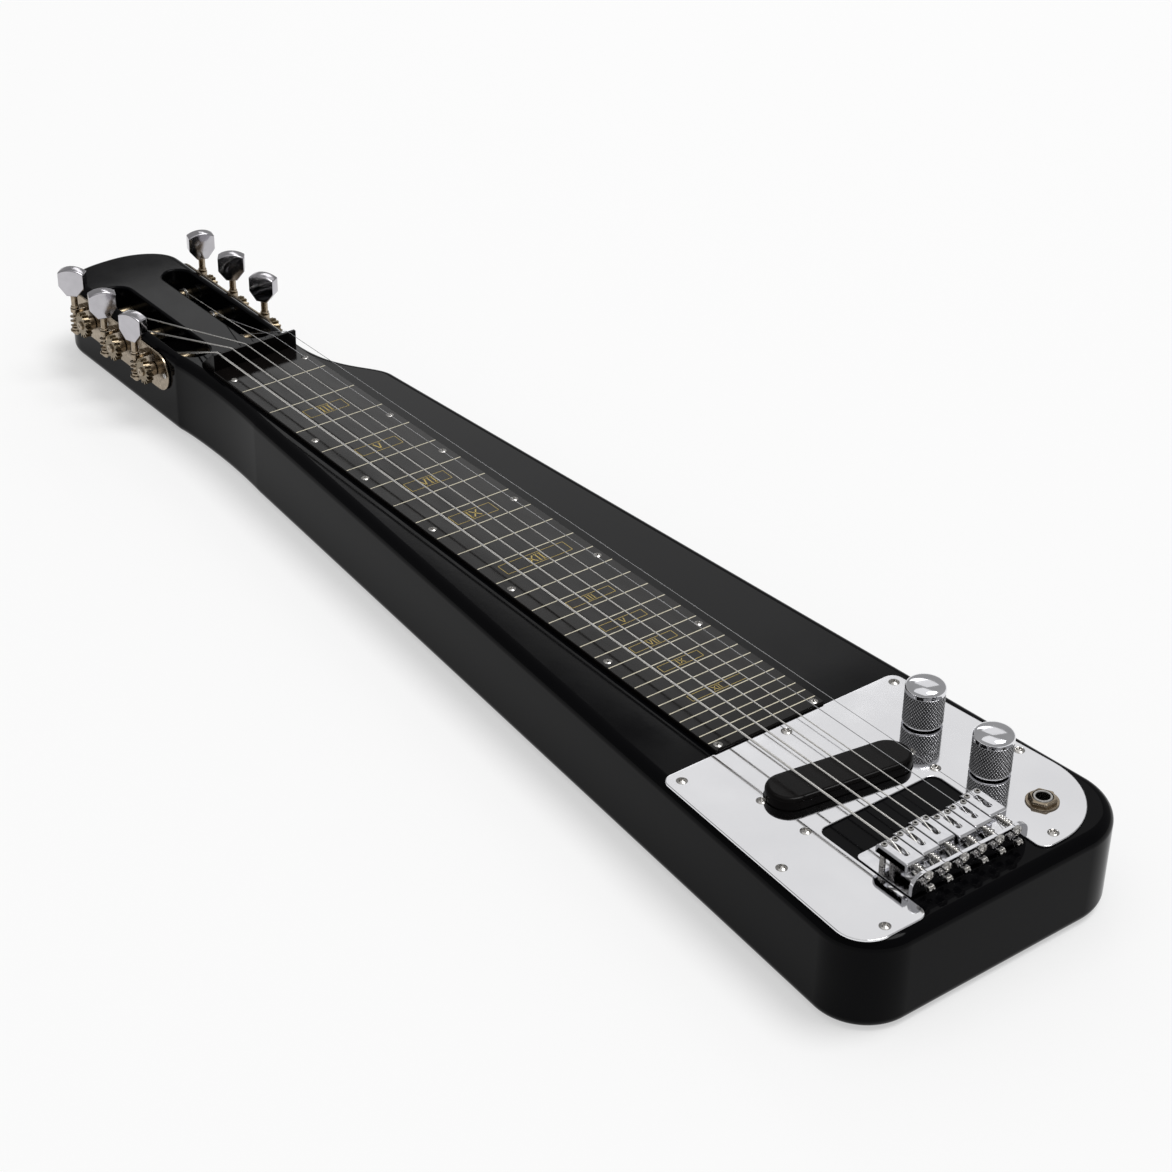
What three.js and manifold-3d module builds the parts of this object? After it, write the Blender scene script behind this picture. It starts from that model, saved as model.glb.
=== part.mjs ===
// Six-string lap steel guitar, in millimetres, +Z up.
// X runs from the nut to the bridge, with x = 0 at the front face of the nut.
// Y runs from the bass side to the treble side, with y = 0 on the centre line of the fretboard.
// z = 0 is the flat underside.
import * as THREE from 'three';
import { mergeVertices } from 'three/addons/utils/BufferGeometryUtils.js';
import Module from 'manifold-3d';

const wasm = await Module();
wasm.setup();

// Strings, from string 1 on the treble side to string 6 on the bass side
const stringCount = 6;
const stringGauges = [0.33, 0.43, 0.61, 0.81, 0.97, 1.17];
const nutPitch = 9.58;
const nutCentreY = 0.45;
const bridgePitch = 10.9;
const bridgeCentreY = 1.2;
const stringRise = 9.3;

// Gaps between pieces, and how far a cutting shape runs past what it cuts
const fit = 0.3;
const looseFit = 0.5;
const overrun = 2;

// Body and headstock, one slab of wood
const bodyThickness = 50;
const edgeRound = 6;
const tailX = 615.5;
const bassShoulderX = 61;
const bassShoulderY = -38.7;
const bassTailY = -79.9;
const trebleShoulderX = 60;
const trebleShoulderY = 60.2;
const trebleTailY = 99.5;
const bassTailRadius = 28;
const trebleTailRadius = 34;
const waistX = 8;
const waistHalf = 35.6;
const shoulderPull = 18;
const waistPull = 44;
const headHalf = 37.5;
const headNearX = -32;
const headFarX = -177.5;
const headCornerReach = 25;
const headCrown = 3;
const headBlend = 12;

// Slots through the headstock, each reaching past its near and far posts
const slotInnerY = 12;
const slotOuterY = 30.6;
const slotNearReach = 27.7;
const slotFarReach = 8.3;

// Fretboard, a thin tapering board screwed to the body
const boardThickness = 2.5;
const boardEndX = 464.7;
const boardHalfAtNut = 28.6;
const boardHalfAtEnd = 34.3;

// Nut, a raised wedge
const nutRise = 12.3;
const nutTopDepth = 2;
const nutDepth = 15;
const nutHalf = 28.3;
const nutToe = 1;

// Control plate, with its cut-out open to the tail
const plateThickness = 1;
const plateBoardGap = 0.3;
const plateBassFrontY = -67.8;
const plateBassRearY = -76.4;
const plateTrebleFrontY = 79.9;
const plateTrebleRearY = 93.9;
const plateBassTailGap = 5.1;
const plateTrebleTailGap = 7.5;
const plateFrontRadius = 6;
const plateBassRadius = 16;
const plateTrebleRadius = 40;
const plateTabRadius = 6;
const plateCutReach = 24.2;
const plateCutRadius = 5;

// Pickup, tilted so that its treble end is nearer the bridge
const pickupX = 514.5;
const pickupY = -1.5;
const pickupAngle = 0.151;
const pickupLength = 78;
const pickupWidth = 22.4;
const pickupRise = 6.5;
const pickupDrop = 5;
const pickupWall = 1.2;
const pickupEdgeRound = 1.6;
const pickupEarLength = 93;
const pickupBaseThickness = 1.4;
const pickupRecessDepth = 14;
const coilInset = 3;
const coilFlange = 1;

// Knobs, pots and jack
const controlXs = [503.6, 551];
const controlYs = [62.4, 60.5];
const controlNames = ['volume', 'tone'];
const knobRadius = 10;
const knobHeight = 22.4;
const knobGap = 1;
const knobDomeHeight = 3.6;
const knobSkirt = 0.8;
const knobWall = 2.4;
const knobRecessDepth = 5;
const spindleRadius = 3;
const potRadius = 12;
const potHeight = 9;
const potBushRadius = 4.4;
const potBushRise = 3.4;
const potNutRadius = 6;
const potNutHeight = 2;
const jackFromTail = 33.1;
const jackFromSide = 36.6;
const jackBoreRadius = 3.4;
const jackBarrelRadius = 4.75;
const jackBarrelRise = 3.2;
const jackBodyRadius = 8.5;
const jackBodyDepth = 14;
const jackNutRadius = 7;
const jackNutHeight = 2.2;
const jackWasherRadius = 8;
const jackWasherHeight = 0.8;
const cavityDepth = 40;
const cavityMargin = 3.5;

// Bridge plate, reaching past the saddles' break lines, with its rear edge bent up into a lip
const bridgeThickness = 1.5;
const bridgeFrontReach = 8.5;
const bridgeRearReach = 24.1;
const bridgeHalf = 35.8;
const bridgeCornerRadius = 3;
const bridgeSideGap = 0.6;
const lipThickness = 2;
const lipRise = 11.8;
const lipCornerRadius = 6;
const bendRadius = 2.5;
const lipHoleRise = 4.2;
const lipBend = 1;
const ballRadius = 1.9;
const ballLength = 3.4;
const ballGap = 0.6;

// Saddles, each bent from strip and carrying two height screws
const saddleXs = [570, 572, 573, 570.5, 572.2, 573.6];
const saddleWidth = 10.3;
const saddleNose = 3.5;
const saddleTail = 17;
const saddleSheet = 1.8;
const saddleTopRise = 13.1;
const saddleRearDrop = 4.7;
const saddleNoseDrop = 5.2;
const saddleNoseRound = 2.4;
const saddleSlotStart = 1.6;
const saddleSlotEnd = 12;
const saddleSlotWidth = 3.2;
const heightScrewRadius = 1.5;
const heightScrewSpread = 3.3;
const heightScrewProud = 0.5;

// Screws that set each saddle's length, and their springs
const lengthScrewRadius = 1.25;
const lengthScrewRise = 10.3;
const lengthScrewReach = 3.6;
const lengthScrewHeadRadius = 2.3;
const lengthScrewHeadLength = 2.4;
const springWireRadius = 0.3;
const springPitchLeast = 1.5;

// Tuners, three on each plate, with open worm and wheel
const tunerPitch = 37.5;
const tunerMiddleX = -91.2;
const postRise = 35;
const postRadius = 3.5;
const postReach = 6;
const postNeckRadius = 2.2;
const windingYs = [21.5, 22.5, 24.5];
const windingTurns = 2.5;
const windingGap = 0.5;
const windingTail = 2.5;
const gearTeeth = 15;
const gearPitchRadius = 7.2;
const wormPitchRadius = 2.8;
const toothHeight = 0.8;
const toothRootDepth = 1.1;
const toothRootShare = 0.52;
const toothTipShare = 0.24;
const toothPhaseShare = 0.5;
const gearWidth = 4;
const gearHubRadius = 4.4;
const gearCapRadius = 2.8;
const gearCapHeight = 1.4;
const threadRootShare = 0.46;
const threadTipShare = 0.2;
const wormTurns = 2.5;
const threadRunOut = 0.6;
const tunerPlateThickness = 1.3;
const tunerPlateHalfHeight = 12;
const tunerPlateEnd = 17;
const wormAxisOut = 6.5;
const earThickness = 2.6;
const earHalf = 3.1;
const earGap = 10.4;
const collarRadius = 2.6;
const collarHeight = 1.3;
const shaftRadius = 1.7;
const shaftEnd = 1;
const buttonBottomZ = 52;
const buttonHeight = 18;
const buttonWidth = 16.5;
const buttonThickness = 7.4;
const buttonNeck = 6.4;
const buttonShoulderShare = 0.5;
const buttonTopShare = 0.84;
const buttonCrown = 2.2;
const buttonSeat = 4;
const buttonEdge = 1.4;
const keyAngles = [0.55, 0.95, 1.3, 0.75, 1.2, 0.35];

// Facets
const roundFacets = 16;
const smallFacets = 8;
const hexagonFacets = 6;
const coreFacets = 3;
const wireFacets = 6;
const curveFacets = 6;
const edgeSteps = 2;
const buttonFacets = 3;
const domeFacets = 4;
const loopSteps = 14;
const curlSteps = 8;
const curlFacets = 5;
const threadSteps = 8;

// Sizes and heights that follow from those above
const bodyTop = bodyThickness;
const boardTop = bodyTop + boardThickness;
const plateTop = bodyTop + plateThickness;
const bridgeTop = bodyTop + bridgeThickness;
const saddleTop = bodyTop + saddleTopRise;
const nutStringZ = boardTop + stringRise;
const bridgeFrontX = Math.min(...saddleXs) - bridgeFrontReach;
const bridgeRearX = Math.max(...saddleXs) + bridgeRearReach;
const lipFrontX = bridgeRearX - lipThickness;
const plateFrontX = boardEndX + plateBoardGap;
const plateBassRearX = tailX - plateBassTailGap;
const plateTrebleRearX = tailX - plateTrebleTailGap;
const plateCutFrontX = bridgeFrontX - plateCutReach;
const jackX = tailX - jackFromTail;
const jackY = trebleTailY - jackFromSide;
const lipHoleZ = bodyTop + lipHoleRise;
const lengthScrewZ = bodyTop + lengthScrewRise;
const lead = (2 * Math.PI * gearPitchRadius) / gearTeeth;
const leadSlope = lead / (2 * Math.PI * wormPitchRadius);
const centreDistance = gearPitchRadius + wormPitchRadius;
const gearTipRadius = gearPitchRadius + toothHeight;
const gearRootRadius = gearPitchRadius - toothRootDepth;
const threadTipRadius = wormPitchRadius + toothHeight;
const slotNearX = tunerMiddleX + tunerPitch + slotNearReach;
const slotFarX = tunerMiddleX - tunerPitch - slotFarReach;
const tunerPlateY = headHalf + fit;
const tunerFaceY = tunerPlateY + tunerPlateThickness;
const wormAxisY = tunerFaceY + wormAxisOut;
const knobBottom = plateTop + knobGap;

const finishes = {
  lacquer: { color: 0x0b0a0c, roughness: 0.12, metalness: 0 },
  plastic: { color: 0x0d0c0d, roughness: 0.25, metalness: 0 },
  chrome: { color: 0xe6e6e8, roughness: 0.08, metalness: 1 },
  nickel: { color: 0xcfc6b8, roughness: 0.2, metalness: 1 },
  brass: { color: 0xb39a5e, roughness: 0.3, metalness: 1 },
  steel: { color: 0xb9b9ba, roughness: 0.25, metalness: 1 },
  copper: { color: 0x7a4426, roughness: 0.4, metalness: 0.6 },
};

// Solids, and what joins and cuts them
function solid(geometry) {
  const bare = geometry.clone();
  bare.deleteAttribute('normal');
  bare.deleteAttribute('uv');
  const merged = mergeVertices(bare);
  const vertProperties = new Float32Array(merged.attributes.position.array);
  const triVerts = new Uint32Array(merged.index.array);
  return new wasm.Manifold(new wasm.Mesh({ numProp: 3, vertProperties, triVerts }));
}

function geometryOf(manifold) {
  const mesh = manifold.getMesh();
  const geometry = new THREE.BufferGeometry();
  geometry.setAttribute('position', new THREE.BufferAttribute(new Float32Array(mesh.vertProperties), 3));
  geometry.setIndex(new THREE.BufferAttribute(new Uint32Array(mesh.triVerts), 1));
  return geometry;
}

function cut(base, tools) {
  return geometryOf(tools.reduce((left, tool) => left.subtract(solid(tool)), solid(base)));
}

function join(pieces) {
  const [first, ...rest] = pieces.map(solid);
  return geometryOf(rest.reduce((sum, piece) => sum.add(piece), first));
}

function common(pieces) {
  const [first, ...rest] = pieces.map(solid);
  return geometryOf(rest.reduce((left, piece) => left.intersect(piece), first));
}

// Plain shapes, each built where it belongs
function rod(radius, from, to, facets) {
  const span = new THREE.Vector3().subVectors(to, from);
  const geometry = new THREE.CylinderGeometry(radius, radius, span.length(), facets);
  const turn = new THREE.Quaternion().setFromUnitVectors(new THREE.Vector3(0, 1, 0), span.normalize());
  geometry.applyQuaternion(turn);
  return geometry.translate((from.x + to.x) / 2, (from.y + to.y) / 2, (from.z + to.z) / 2);
}

function rodX(radius, lowX, highX, y, z, facets) {
  return rod(radius, new THREE.Vector3(lowX, y, z), new THREE.Vector3(highX, y, z), facets);
}

function rodY(radius, x, fromY, toY, z, facets) {
  return rod(radius, new THREE.Vector3(x, fromY, z), new THREE.Vector3(x, toY, z), facets);
}

function rodZ(radius, x, y, low, high, facets) {
  const geometry = new THREE.CylinderGeometry(radius, radius, high - low, facets);
  return geometry.rotateX(Math.PI / 2).translate(x, y, (low + high) / 2);
}

function block(lowX, highX, lowY, highY, lowZ, highZ) {
  const geometry = new THREE.BoxGeometry(highX - lowX, highY - lowY, highZ - lowZ);
  return geometry.translate((lowX + highX) / 2, (lowY + highY) / 2, (lowZ + highZ) / 2);
}

function slab(shape, low, high) {
  const options = { depth: high - low, bevelEnabled: false, curveSegments: curveFacets };
  return new THREE.ExtrudeGeometry(shape, options).translate(0, 0, low);
}

function softSlab(shape, low, high, round, steps, curveSegments) {
  const options = {
    depth: high - low - 2 * round,
    bevelThickness: round,
    bevelSize: round,
    bevelOffset: -round,
    bevelSegments: steps,
    curveSegments,
  };
  return new THREE.ExtrudeGeometry(shape, options).translate(0, 0, low + round);
}

// A profile drawn in x and z, run along Y from lowY to highY
function profileAlongY(shape, lowY, highY) {
  const options = { depth: highY - lowY, bevelEnabled: false, curveSegments: curveFacets };
  return new THREE.ExtrudeGeometry(shape, options).rotateX(Math.PI / 2).translate(0, highY, 0);
}

// A profile drawn in y and z, run along X from lowX to highX
function profileAlongX(shape, lowX, highX) {
  const options = { depth: highX - lowX, bevelEnabled: false, curveSegments: curveFacets };
  const geometry = new THREE.ExtrudeGeometry(shape, options);
  return geometry.rotateX(Math.PI / 2).rotateZ(Math.PI / 2).translate(lowX, 0, 0);
}

// A closed outline through corner points, each rounded to its own radius
function roundedOutline(corners) {
  const shape = new THREE.Shape();
  corners.forEach((corner, index) => {
    const before = corners[(index + corners.length - 1) % corners.length];
    const after = corners[(index + 1) % corners.length];
    const here = new THREE.Vector2(corner.x, corner.y);
    const back = new THREE.Vector2(before.x, before.y).sub(here).normalize();
    const on = new THREE.Vector2(after.x, after.y).sub(here).normalize();
    const half = Math.acos(back.dot(on)) / 2;
    const start = here.clone().addScaledVector(back, corner.radius / Math.tan(half));
    const finish = here.clone().addScaledVector(on, corner.radius / Math.tan(half));
    const inward = back.clone().add(on).normalize();
    const centre = here.clone().addScaledVector(inward, corner.radius / Math.sin(half));
    const clockwise = back.cross(on) > 0;
    if (index === 0) {
      shape.moveTo(start.x, start.y);
    } else {
      shape.lineTo(start.x, start.y);
    }
    if (corner.radius > 0) {
      const startAngle = Math.atan2(start.y - centre.y, start.x - centre.x);
      const finishAngle = Math.atan2(finish.y - centre.y, finish.x - centre.x);
      shape.absarc(centre.x, centre.y, corner.radius, startAngle, finishAngle, clockwise);
    }
  });
  shape.closePath();
  return shape;
}

function roundedRectangle(lowX, highX, lowY, highY, radius) {
  return roundedOutline([
    { x: lowX, y: lowY, radius },
    { x: highX, y: lowY, radius },
    { x: highX, y: highY, radius },
    { x: lowX, y: highY, radius },
  ]);
}

// A slot outline with round ends, centred, with its length along x
function stadium(length, width) {
  const radius = width / 2;
  const straight = length / 2 - radius;
  const shape = new THREE.Shape();
  shape.moveTo(-straight, -radius);
  shape.lineTo(straight, -radius);
  shape.absarc(straight, 0, radius, -Math.PI / 2, Math.PI / 2, false);
  shape.lineTo(-straight, radius);
  shape.absarc(-straight, 0, radius, Math.PI / 2, Math.PI * 1.5, false);
  return shape;
}

// Rings of points joined into one closed skin, with a fan over each end
function loft(rings) {
  const sides = rings[0].length;
  const points = rings.flat();
  const faces = [];
  for (let ring = 0; ring < rings.length - 1; ring += 1) {
    for (let side = 0; side < sides; side += 1) {
      const next = (side + 1) % sides;
      const low = ring * sides;
      const high = low + sides;
      faces.push(low + side, low + next, high + next, low + side, high + next, high + side);
    }
  }
  const last = (rings.length - 1) * sides;
  const middleOf = (ring) => {
    const sum = ring.reduce((total, point) => total.add(point), new THREE.Vector3());
    return sum.divideScalar(sides);
  };
  points.push(middleOf(rings[0]), middleOf(rings[rings.length - 1]));
  for (let side = 0; side < sides; side += 1) {
    const next = (side + 1) % sides;
    faces.push(points.length - 2, next, side);
    faces.push(points.length - 1, last + side, last + next);
  }
  const geometry = new THREE.BufferGeometry().setFromPoints(points);
  geometry.setIndex(faces);
  return geometry;
}

// A round wire along a route, its section carried along without twist
function wire(route, radius, sides) {
  const rings = [];
  let normal = null;
  route.forEach((point, index) => {
    const before = route[Math.max(index - 1, 0)];
    const after = route[Math.min(index + 1, route.length - 1)];
    const incoming = new THREE.Vector3().subVectors(point, before).normalize();
    const outgoing = new THREE.Vector3().subVectors(after, point).normalize();
    const along = incoming.add(outgoing).normalize();
    if (normal === null) {
      const sideways = Math.abs(along.y) > Math.SQRT1_2;
      normal = sideways ? new THREE.Vector3(1, 0, 0) : new THREE.Vector3(0, 1, 0);
    }
    normal.addScaledVector(along, -normal.dot(along)).normalize();
    const other = new THREE.Vector3().crossVectors(along, normal);
    const ring = [];
    for (let side = 0; side < sides; side += 1) {
      const angle = (2 * Math.PI * side) / sides;
      ring.push(point.clone()
        .addScaledVector(normal, radius * Math.cos(angle))
        .addScaledVector(other, radius * Math.sin(angle)));
    }
    rings.push(ring);
  });
  return loft(rings);
}

// The least gap of a wire to itself, taken between points that lie more than half a turn apart along it
function leastGap(route, radius, apart) {
  let least = Infinity;
  for (let first = 0; first < route.length; first += 1) {
    for (let second = first + apart; second < route.length; second += 1) {
      least = Math.min(least, route[first].distanceTo(route[second]));
    }
  }
  return least - 2 * radius;
}

// Where string number (0 is string 1) lies across the instrument
function nutY(number) {
  return nutCentreY + ((stringCount - 1) / 2 - number) * nutPitch;
}

function bridgeY(number) {
  return bridgeCentreY + ((stringCount - 1) / 2 - number) * bridgePitch;
}

function stringRadius(number) {
  return stringGauges[number] / 2;
}

// Strings 1, 2 and 3 run to the near, middle and far posts of the treble side,
// and strings 6, 5 and 4 to those of the bass side
function sideOf(number) {
  return number < stringCount / 2 ? 1 : -1;
}

function orderOf(number) {
  return Math.min(number, stringCount - 1 - number);
}

function postX(number) {
  return tunerMiddleX + (1 - orderOf(number)) * tunerPitch;
}

function keyX(number) {
  return postX(number) - centreDistance;
}

const strings = Array.from({ length: stringCount }, (_, number) => number);

// Body outline: straight tapering sides, a shoulder on the treble side only, a waist at the nut,
// and a long head
function bodyOutline() {
  const bassWay = new THREE.Vector2(bassShoulderX - tailX, bassShoulderY - bassTailY).normalize();
  const trebleWay = new THREE.Vector2(trebleShoulderX - tailX, trebleShoulderY - trebleTailY).normalize();
  const tailArc = (corner, way, tail, radius) => {
    const half = Math.acos(way.dot(tail)) / 2;
    const inward = way.clone().add(tail).normalize();
    const centre = corner.clone().addScaledVector(inward, radius / Math.sin(half));
    const onSide = corner.clone().addScaledVector(way, radius / Math.tan(half));
    const sideAngle = Math.atan2(onSide.y - centre.y, onSide.x - centre.x);
    return { centre, onSide, sideAngle };
  };
  const bassCorner = new THREE.Vector2(tailX, bassTailY);
  const bass = tailArc(bassCorner, bassWay, new THREE.Vector2(0, 1), bassTailRadius);
  const trebleCorner = new THREE.Vector2(tailX, trebleTailY);
  const treble = tailArc(trebleCorner, trebleWay, new THREE.Vector2(0, -1), trebleTailRadius);
  const cornerX = headFarX + headCrown;
  const shape = new THREE.Shape();
  shape.moveTo(waistX, -waistHalf);
  shape.quadraticCurveTo((waistX + bassShoulderX) / 2, -waistHalf, bassShoulderX, bassShoulderY);
  shape.lineTo(bass.onSide.x, bass.onSide.y);
  shape.absarc(bass.centre.x, bass.centre.y, bassTailRadius, bass.sideAngle, 0, false);
  shape.lineTo(treble.centre.x + trebleTailRadius, treble.centre.y);
  shape.absarc(treble.centre.x, treble.centre.y, trebleTailRadius, 0, treble.sideAngle, false);
  shape.lineTo(trebleShoulderX, trebleShoulderY);
  shape.bezierCurveTo(trebleShoulderX - shoulderPull, trebleShoulderY, waistPull - waistX, waistHalf,
    -waistX, waistHalf);
  shape.quadraticCurveTo(headNearX + headBlend, waistHalf, headNearX, headHalf);
  shape.lineTo(cornerX + headCornerReach, headHalf);
  shape.quadraticCurveTo(cornerX, headHalf, cornerX, headHalf - headCornerReach);
  shape.quadraticCurveTo(headFarX - headCrown, 0, cornerX, headCornerReach - headHalf);
  shape.quadraticCurveTo(cornerX, -headHalf, cornerX + headCornerReach, -headHalf);
  shape.lineTo(headNearX, -headHalf);
  shape.quadraticCurveTo(headNearX + headBlend, -waistHalf, waistX, -waistHalf);
  return shape;
}

function headSlot(side) {
  const outline = stadium(slotNearX - slotFarX, slotOuterY - slotInnerY);
  const through = slab(outline, -overrun, bodyTop + overrun);
  return through.translate((slotNearX + slotFarX) / 2, (side * (slotInnerY + slotOuterY)) / 2, 0);
}

function postBore(number) {
  const side = sideOf(number);
  const blindY = side * (slotInnerY - postReach - fit);
  return rodY(postRadius + fit, postX(number), blindY, side * (headHalf + overrun), postRise, smallFacets);
}

// Turns a pickup piece, drawn about its own middle, to its place under the strings
function underStrings(geometry) {
  return geometry.rotateZ(Math.PI / 2 - pickupAngle).translate(pickupX, pickupY, 0);
}

function controlCavity() {
  const lowX = Math.min(...controlXs) - potRadius - cavityMargin;
  const highX = jackX + jackBodyRadius + cavityMargin;
  const lowY = Math.min(...controlYs) - potRadius - cavityMargin;
  const highY = Math.max(...controlYs) + potRadius + cavityMargin;
  const outline = roundedRectangle(lowX, highX, lowY, highY, cavityMargin);
  return slab(outline, bodyTop - cavityDepth, bodyTop + overrun);
}

function makeBody() {
  const blank = softSlab(bodyOutline(), 0, bodyTop, edgeRound, edgeSteps, curveFacets);
  const recess = underStrings(slab(
    stadium(pickupEarLength + 2 * looseFit, pickupWidth + 2 * cavityMargin),
    bodyTop - pickupRecessDepth,
    bodyTop + overrun,
  ));
  return cut(blank, [controlCavity(), recess, headSlot(-1), headSlot(1), ...strings.map(postBore)]);
}

function makeFretboard() {
  return slab(roundedOutline([
    { x: fit, y: -boardHalfAtNut, radius: 0 },
    { x: boardEndX, y: -boardHalfAtEnd, radius: 0 },
    { x: boardEndX, y: boardHalfAtEnd, radius: 0 },
    { x: fit, y: boardHalfAtNut, radius: 0 },
  ]), bodyTop, boardTop);
}

// Bottom of the notch that a string lies in, and the place at the back where the string turns down
function notchZ(number) {
  return nutStringZ - stringRadius(number) - fit;
}

function nutBackX(number) {
  const fall = (nutDepth - nutTopDepth) / (nutRise - nutToe);
  return -nutTopDepth - (bodyTop + nutRise - notchZ(number)) * fall;
}

function makeNut() {
  const profile = new THREE.Shape();
  profile.moveTo(0, bodyTop);
  profile.lineTo(0, bodyTop + nutRise);
  profile.lineTo(-nutTopDepth, bodyTop + nutRise);
  profile.lineTo(-nutDepth, bodyTop + nutToe);
  profile.lineTo(-nutDepth, bodyTop);
  const wedge = profileAlongY(profile, nutCentreY - nutHalf, nutCentreY + nutHalf);
  const notches = strings.map((number) => {
    const half = stringRadius(number) + fit;
    const top = bodyTop + nutRise + overrun;
    return block(-nutDepth, overrun, nutY(number) - half, nutY(number) + half, notchZ(number), top);
  });
  return cut(wedge, notches);
}

function plateCutLow() {
  return bridgeCentreY - bridgeHalf - bridgeSideGap;
}

function plateCutHigh() {
  return bridgeCentreY + bridgeHalf + bridgeSideGap;
}

function makeControlPlate() {
  const outline = roundedOutline([
    { x: plateFrontX, y: plateBassFrontY, radius: plateFrontRadius },
    { x: plateBassRearX, y: plateBassRearY, radius: plateBassRadius },
    { x: plateBassRearX, y: plateCutLow(), radius: plateTabRadius },
    { x: plateCutFrontX, y: plateCutLow(), radius: plateCutRadius },
    { x: plateCutFrontX, y: plateCutHigh(), radius: plateCutRadius },
    { x: plateTrebleRearX, y: plateCutHigh(), radius: plateTabRadius },
    { x: plateTrebleRearX, y: plateTrebleRearY, radius: plateTrebleRadius },
    { x: plateFrontX, y: plateTrebleFrontY, radius: plateFrontRadius },
  ]);
  const low = bodyTop - overrun;
  const high = plateTop + overrun;
  const window = slab(stadium(pickupLength + 2 * looseFit, pickupWidth + 2 * looseFit), low, high);
  const bushHole = (x, index) => rodZ(potBushRadius + fit, x, controlYs[index], low, high, roundFacets);
  const holes = controlXs.map(bushHole);
  const jackHole = rodZ(jackBarrelRadius + fit, jackX, jackY, low, high, roundFacets);
  return cut(slab(outline, bodyTop, plateTop), [underStrings(window), ...holes, jackHole]);
}

// Pickup: a moulded cover open below, the wound coil inside it, and a base plate with an ear at each end
function makePickupCover() {
  const bottom = plateTop - pickupDrop;
  const top = plateTop + pickupRise;
  const outline = stadium(pickupLength, pickupWidth);
  const outer = softSlab(outline, bottom - pickupEdgeRound, top, pickupEdgeRound, edgeSteps, curveFacets);
  const inside = stadium(pickupLength - 2 * pickupWall, pickupWidth - 2 * pickupWall);
  const hollow = slab(inside, bottom - overrun, top - pickupWall);
  const skirt = slab(stadium(pickupLength + overrun, pickupWidth + overrun), bottom - overrun, bottom);
  return underStrings(cut(outer, [hollow, skirt]));
}

function makePickupCoil() {
  const length = pickupLength - 2 * (pickupWall + fit);
  const width = pickupWidth - 2 * (pickupWall + fit);
  const low = plateTop - pickupDrop;
  const high = plateTop + pickupRise - pickupWall - fit;
  const flange = (from, to) => slab(stadium(length, width), from, to);
  const winding = slab(stadium(length - coilInset, width - coilInset), low, high);
  return underStrings(join([winding, flange(low, low + coilFlange), flange(high - coilFlange, high)]));
}

function makePickupBase() {
  const top = plateTop - pickupDrop - fit;
  return underStrings(slab(stadium(pickupEarLength, pickupWidth), top - pickupBaseThickness, top));
}

// Knob: a hollow skirt round a solid hub, on the spindle that turns in the pot
function makeKnob(index) {
  const top = knobBottom + knobHeight;
  const shoulder = top - knobDomeHeight;
  const inner = knobRadius - knobWall;
  const spindleLow = plateTop + potBushRise - potHeight;
  const dome = new THREE.QuadraticBezierCurve(
    new THREE.Vector2(knobRadius, shoulder),
    new THREE.Vector2(knobRadius - knobSkirt, top),
    new THREE.Vector2(0, top),
  ).getPoints(domeFacets);
  const profile = [
    new THREE.Vector2(0, spindleLow),
    new THREE.Vector2(spindleRadius, spindleLow),
    new THREE.Vector2(spindleRadius, knobBottom + knobRecessDepth),
    new THREE.Vector2(inner, knobBottom + knobRecessDepth),
    new THREE.Vector2(inner, knobBottom),
    new THREE.Vector2(knobRadius, knobBottom),
    ...dome,
  ];
  const geometry = new THREE.LatheGeometry(profile, roundFacets);
  return geometry.rotateX(Math.PI / 2).translate(controlXs[index], controlYs[index], 0);
}

// Pot: a round can under the plate, with a threaded bush and a hexagon nut, bored for the spindle
function makePot(index) {
  const x = controlXs[index];
  const y = controlYs[index];
  const canTop = bodyTop - fit;
  const nutLow = plateTop + fit;
  const spindleLow = plateTop + potBushRise - potHeight;
  const can = rodZ(potRadius, x, y, canTop - potHeight, canTop, roundFacets);
  const bush = rodZ(potBushRadius, x, y, canTop - overrun, plateTop + potBushRise, roundFacets);
  const hexagon = rodZ(potNutRadius, x, y, nutLow, nutLow + potNutHeight, hexagonFacets);
  const boreTop = plateTop + potBushRise + overrun;
  const bore = rodZ(spindleRadius + fit, x, y, spindleLow - fit, boreTop, roundFacets);
  return cut(join([can, bush, hexagon]), [bore]);
}

// Jack: a plain barrel through the plate, bored right through, with a washer and a hexagon nut round it
function makeJackSocket() {
  const canTop = bodyTop - fit;
  const low = canTop - jackBodyDepth;
  const top = plateTop + jackBarrelRise;
  const can = rodZ(jackBodyRadius, jackX, jackY, low, canTop, roundFacets);
  const barrel = rodZ(jackBarrelRadius, jackX, jackY, canTop - overrun, top, roundFacets);
  const bore = rodZ(jackBoreRadius, jackX, jackY, low - overrun, top + overrun, roundFacets);
  return cut(join([can, barrel]), [bore]);
}

function makeJackNut() {
  const low = plateTop;
  const washerTop = low + jackWasherHeight;
  const washer = rodZ(jackWasherRadius, jackX, jackY, low, washerTop, roundFacets);
  const hexagon = rodZ(jackNutRadius, jackX, jackY, low, washerTop + jackNutHeight, hexagonFacets);
  const top = washerTop + jackNutHeight + overrun;
  const bore = rodZ(jackBarrelRadius + fit, jackX, jackY, low - overrun, top, roundFacets);
  return cut(join([washer, hexagon]), [bore]);
}

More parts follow.
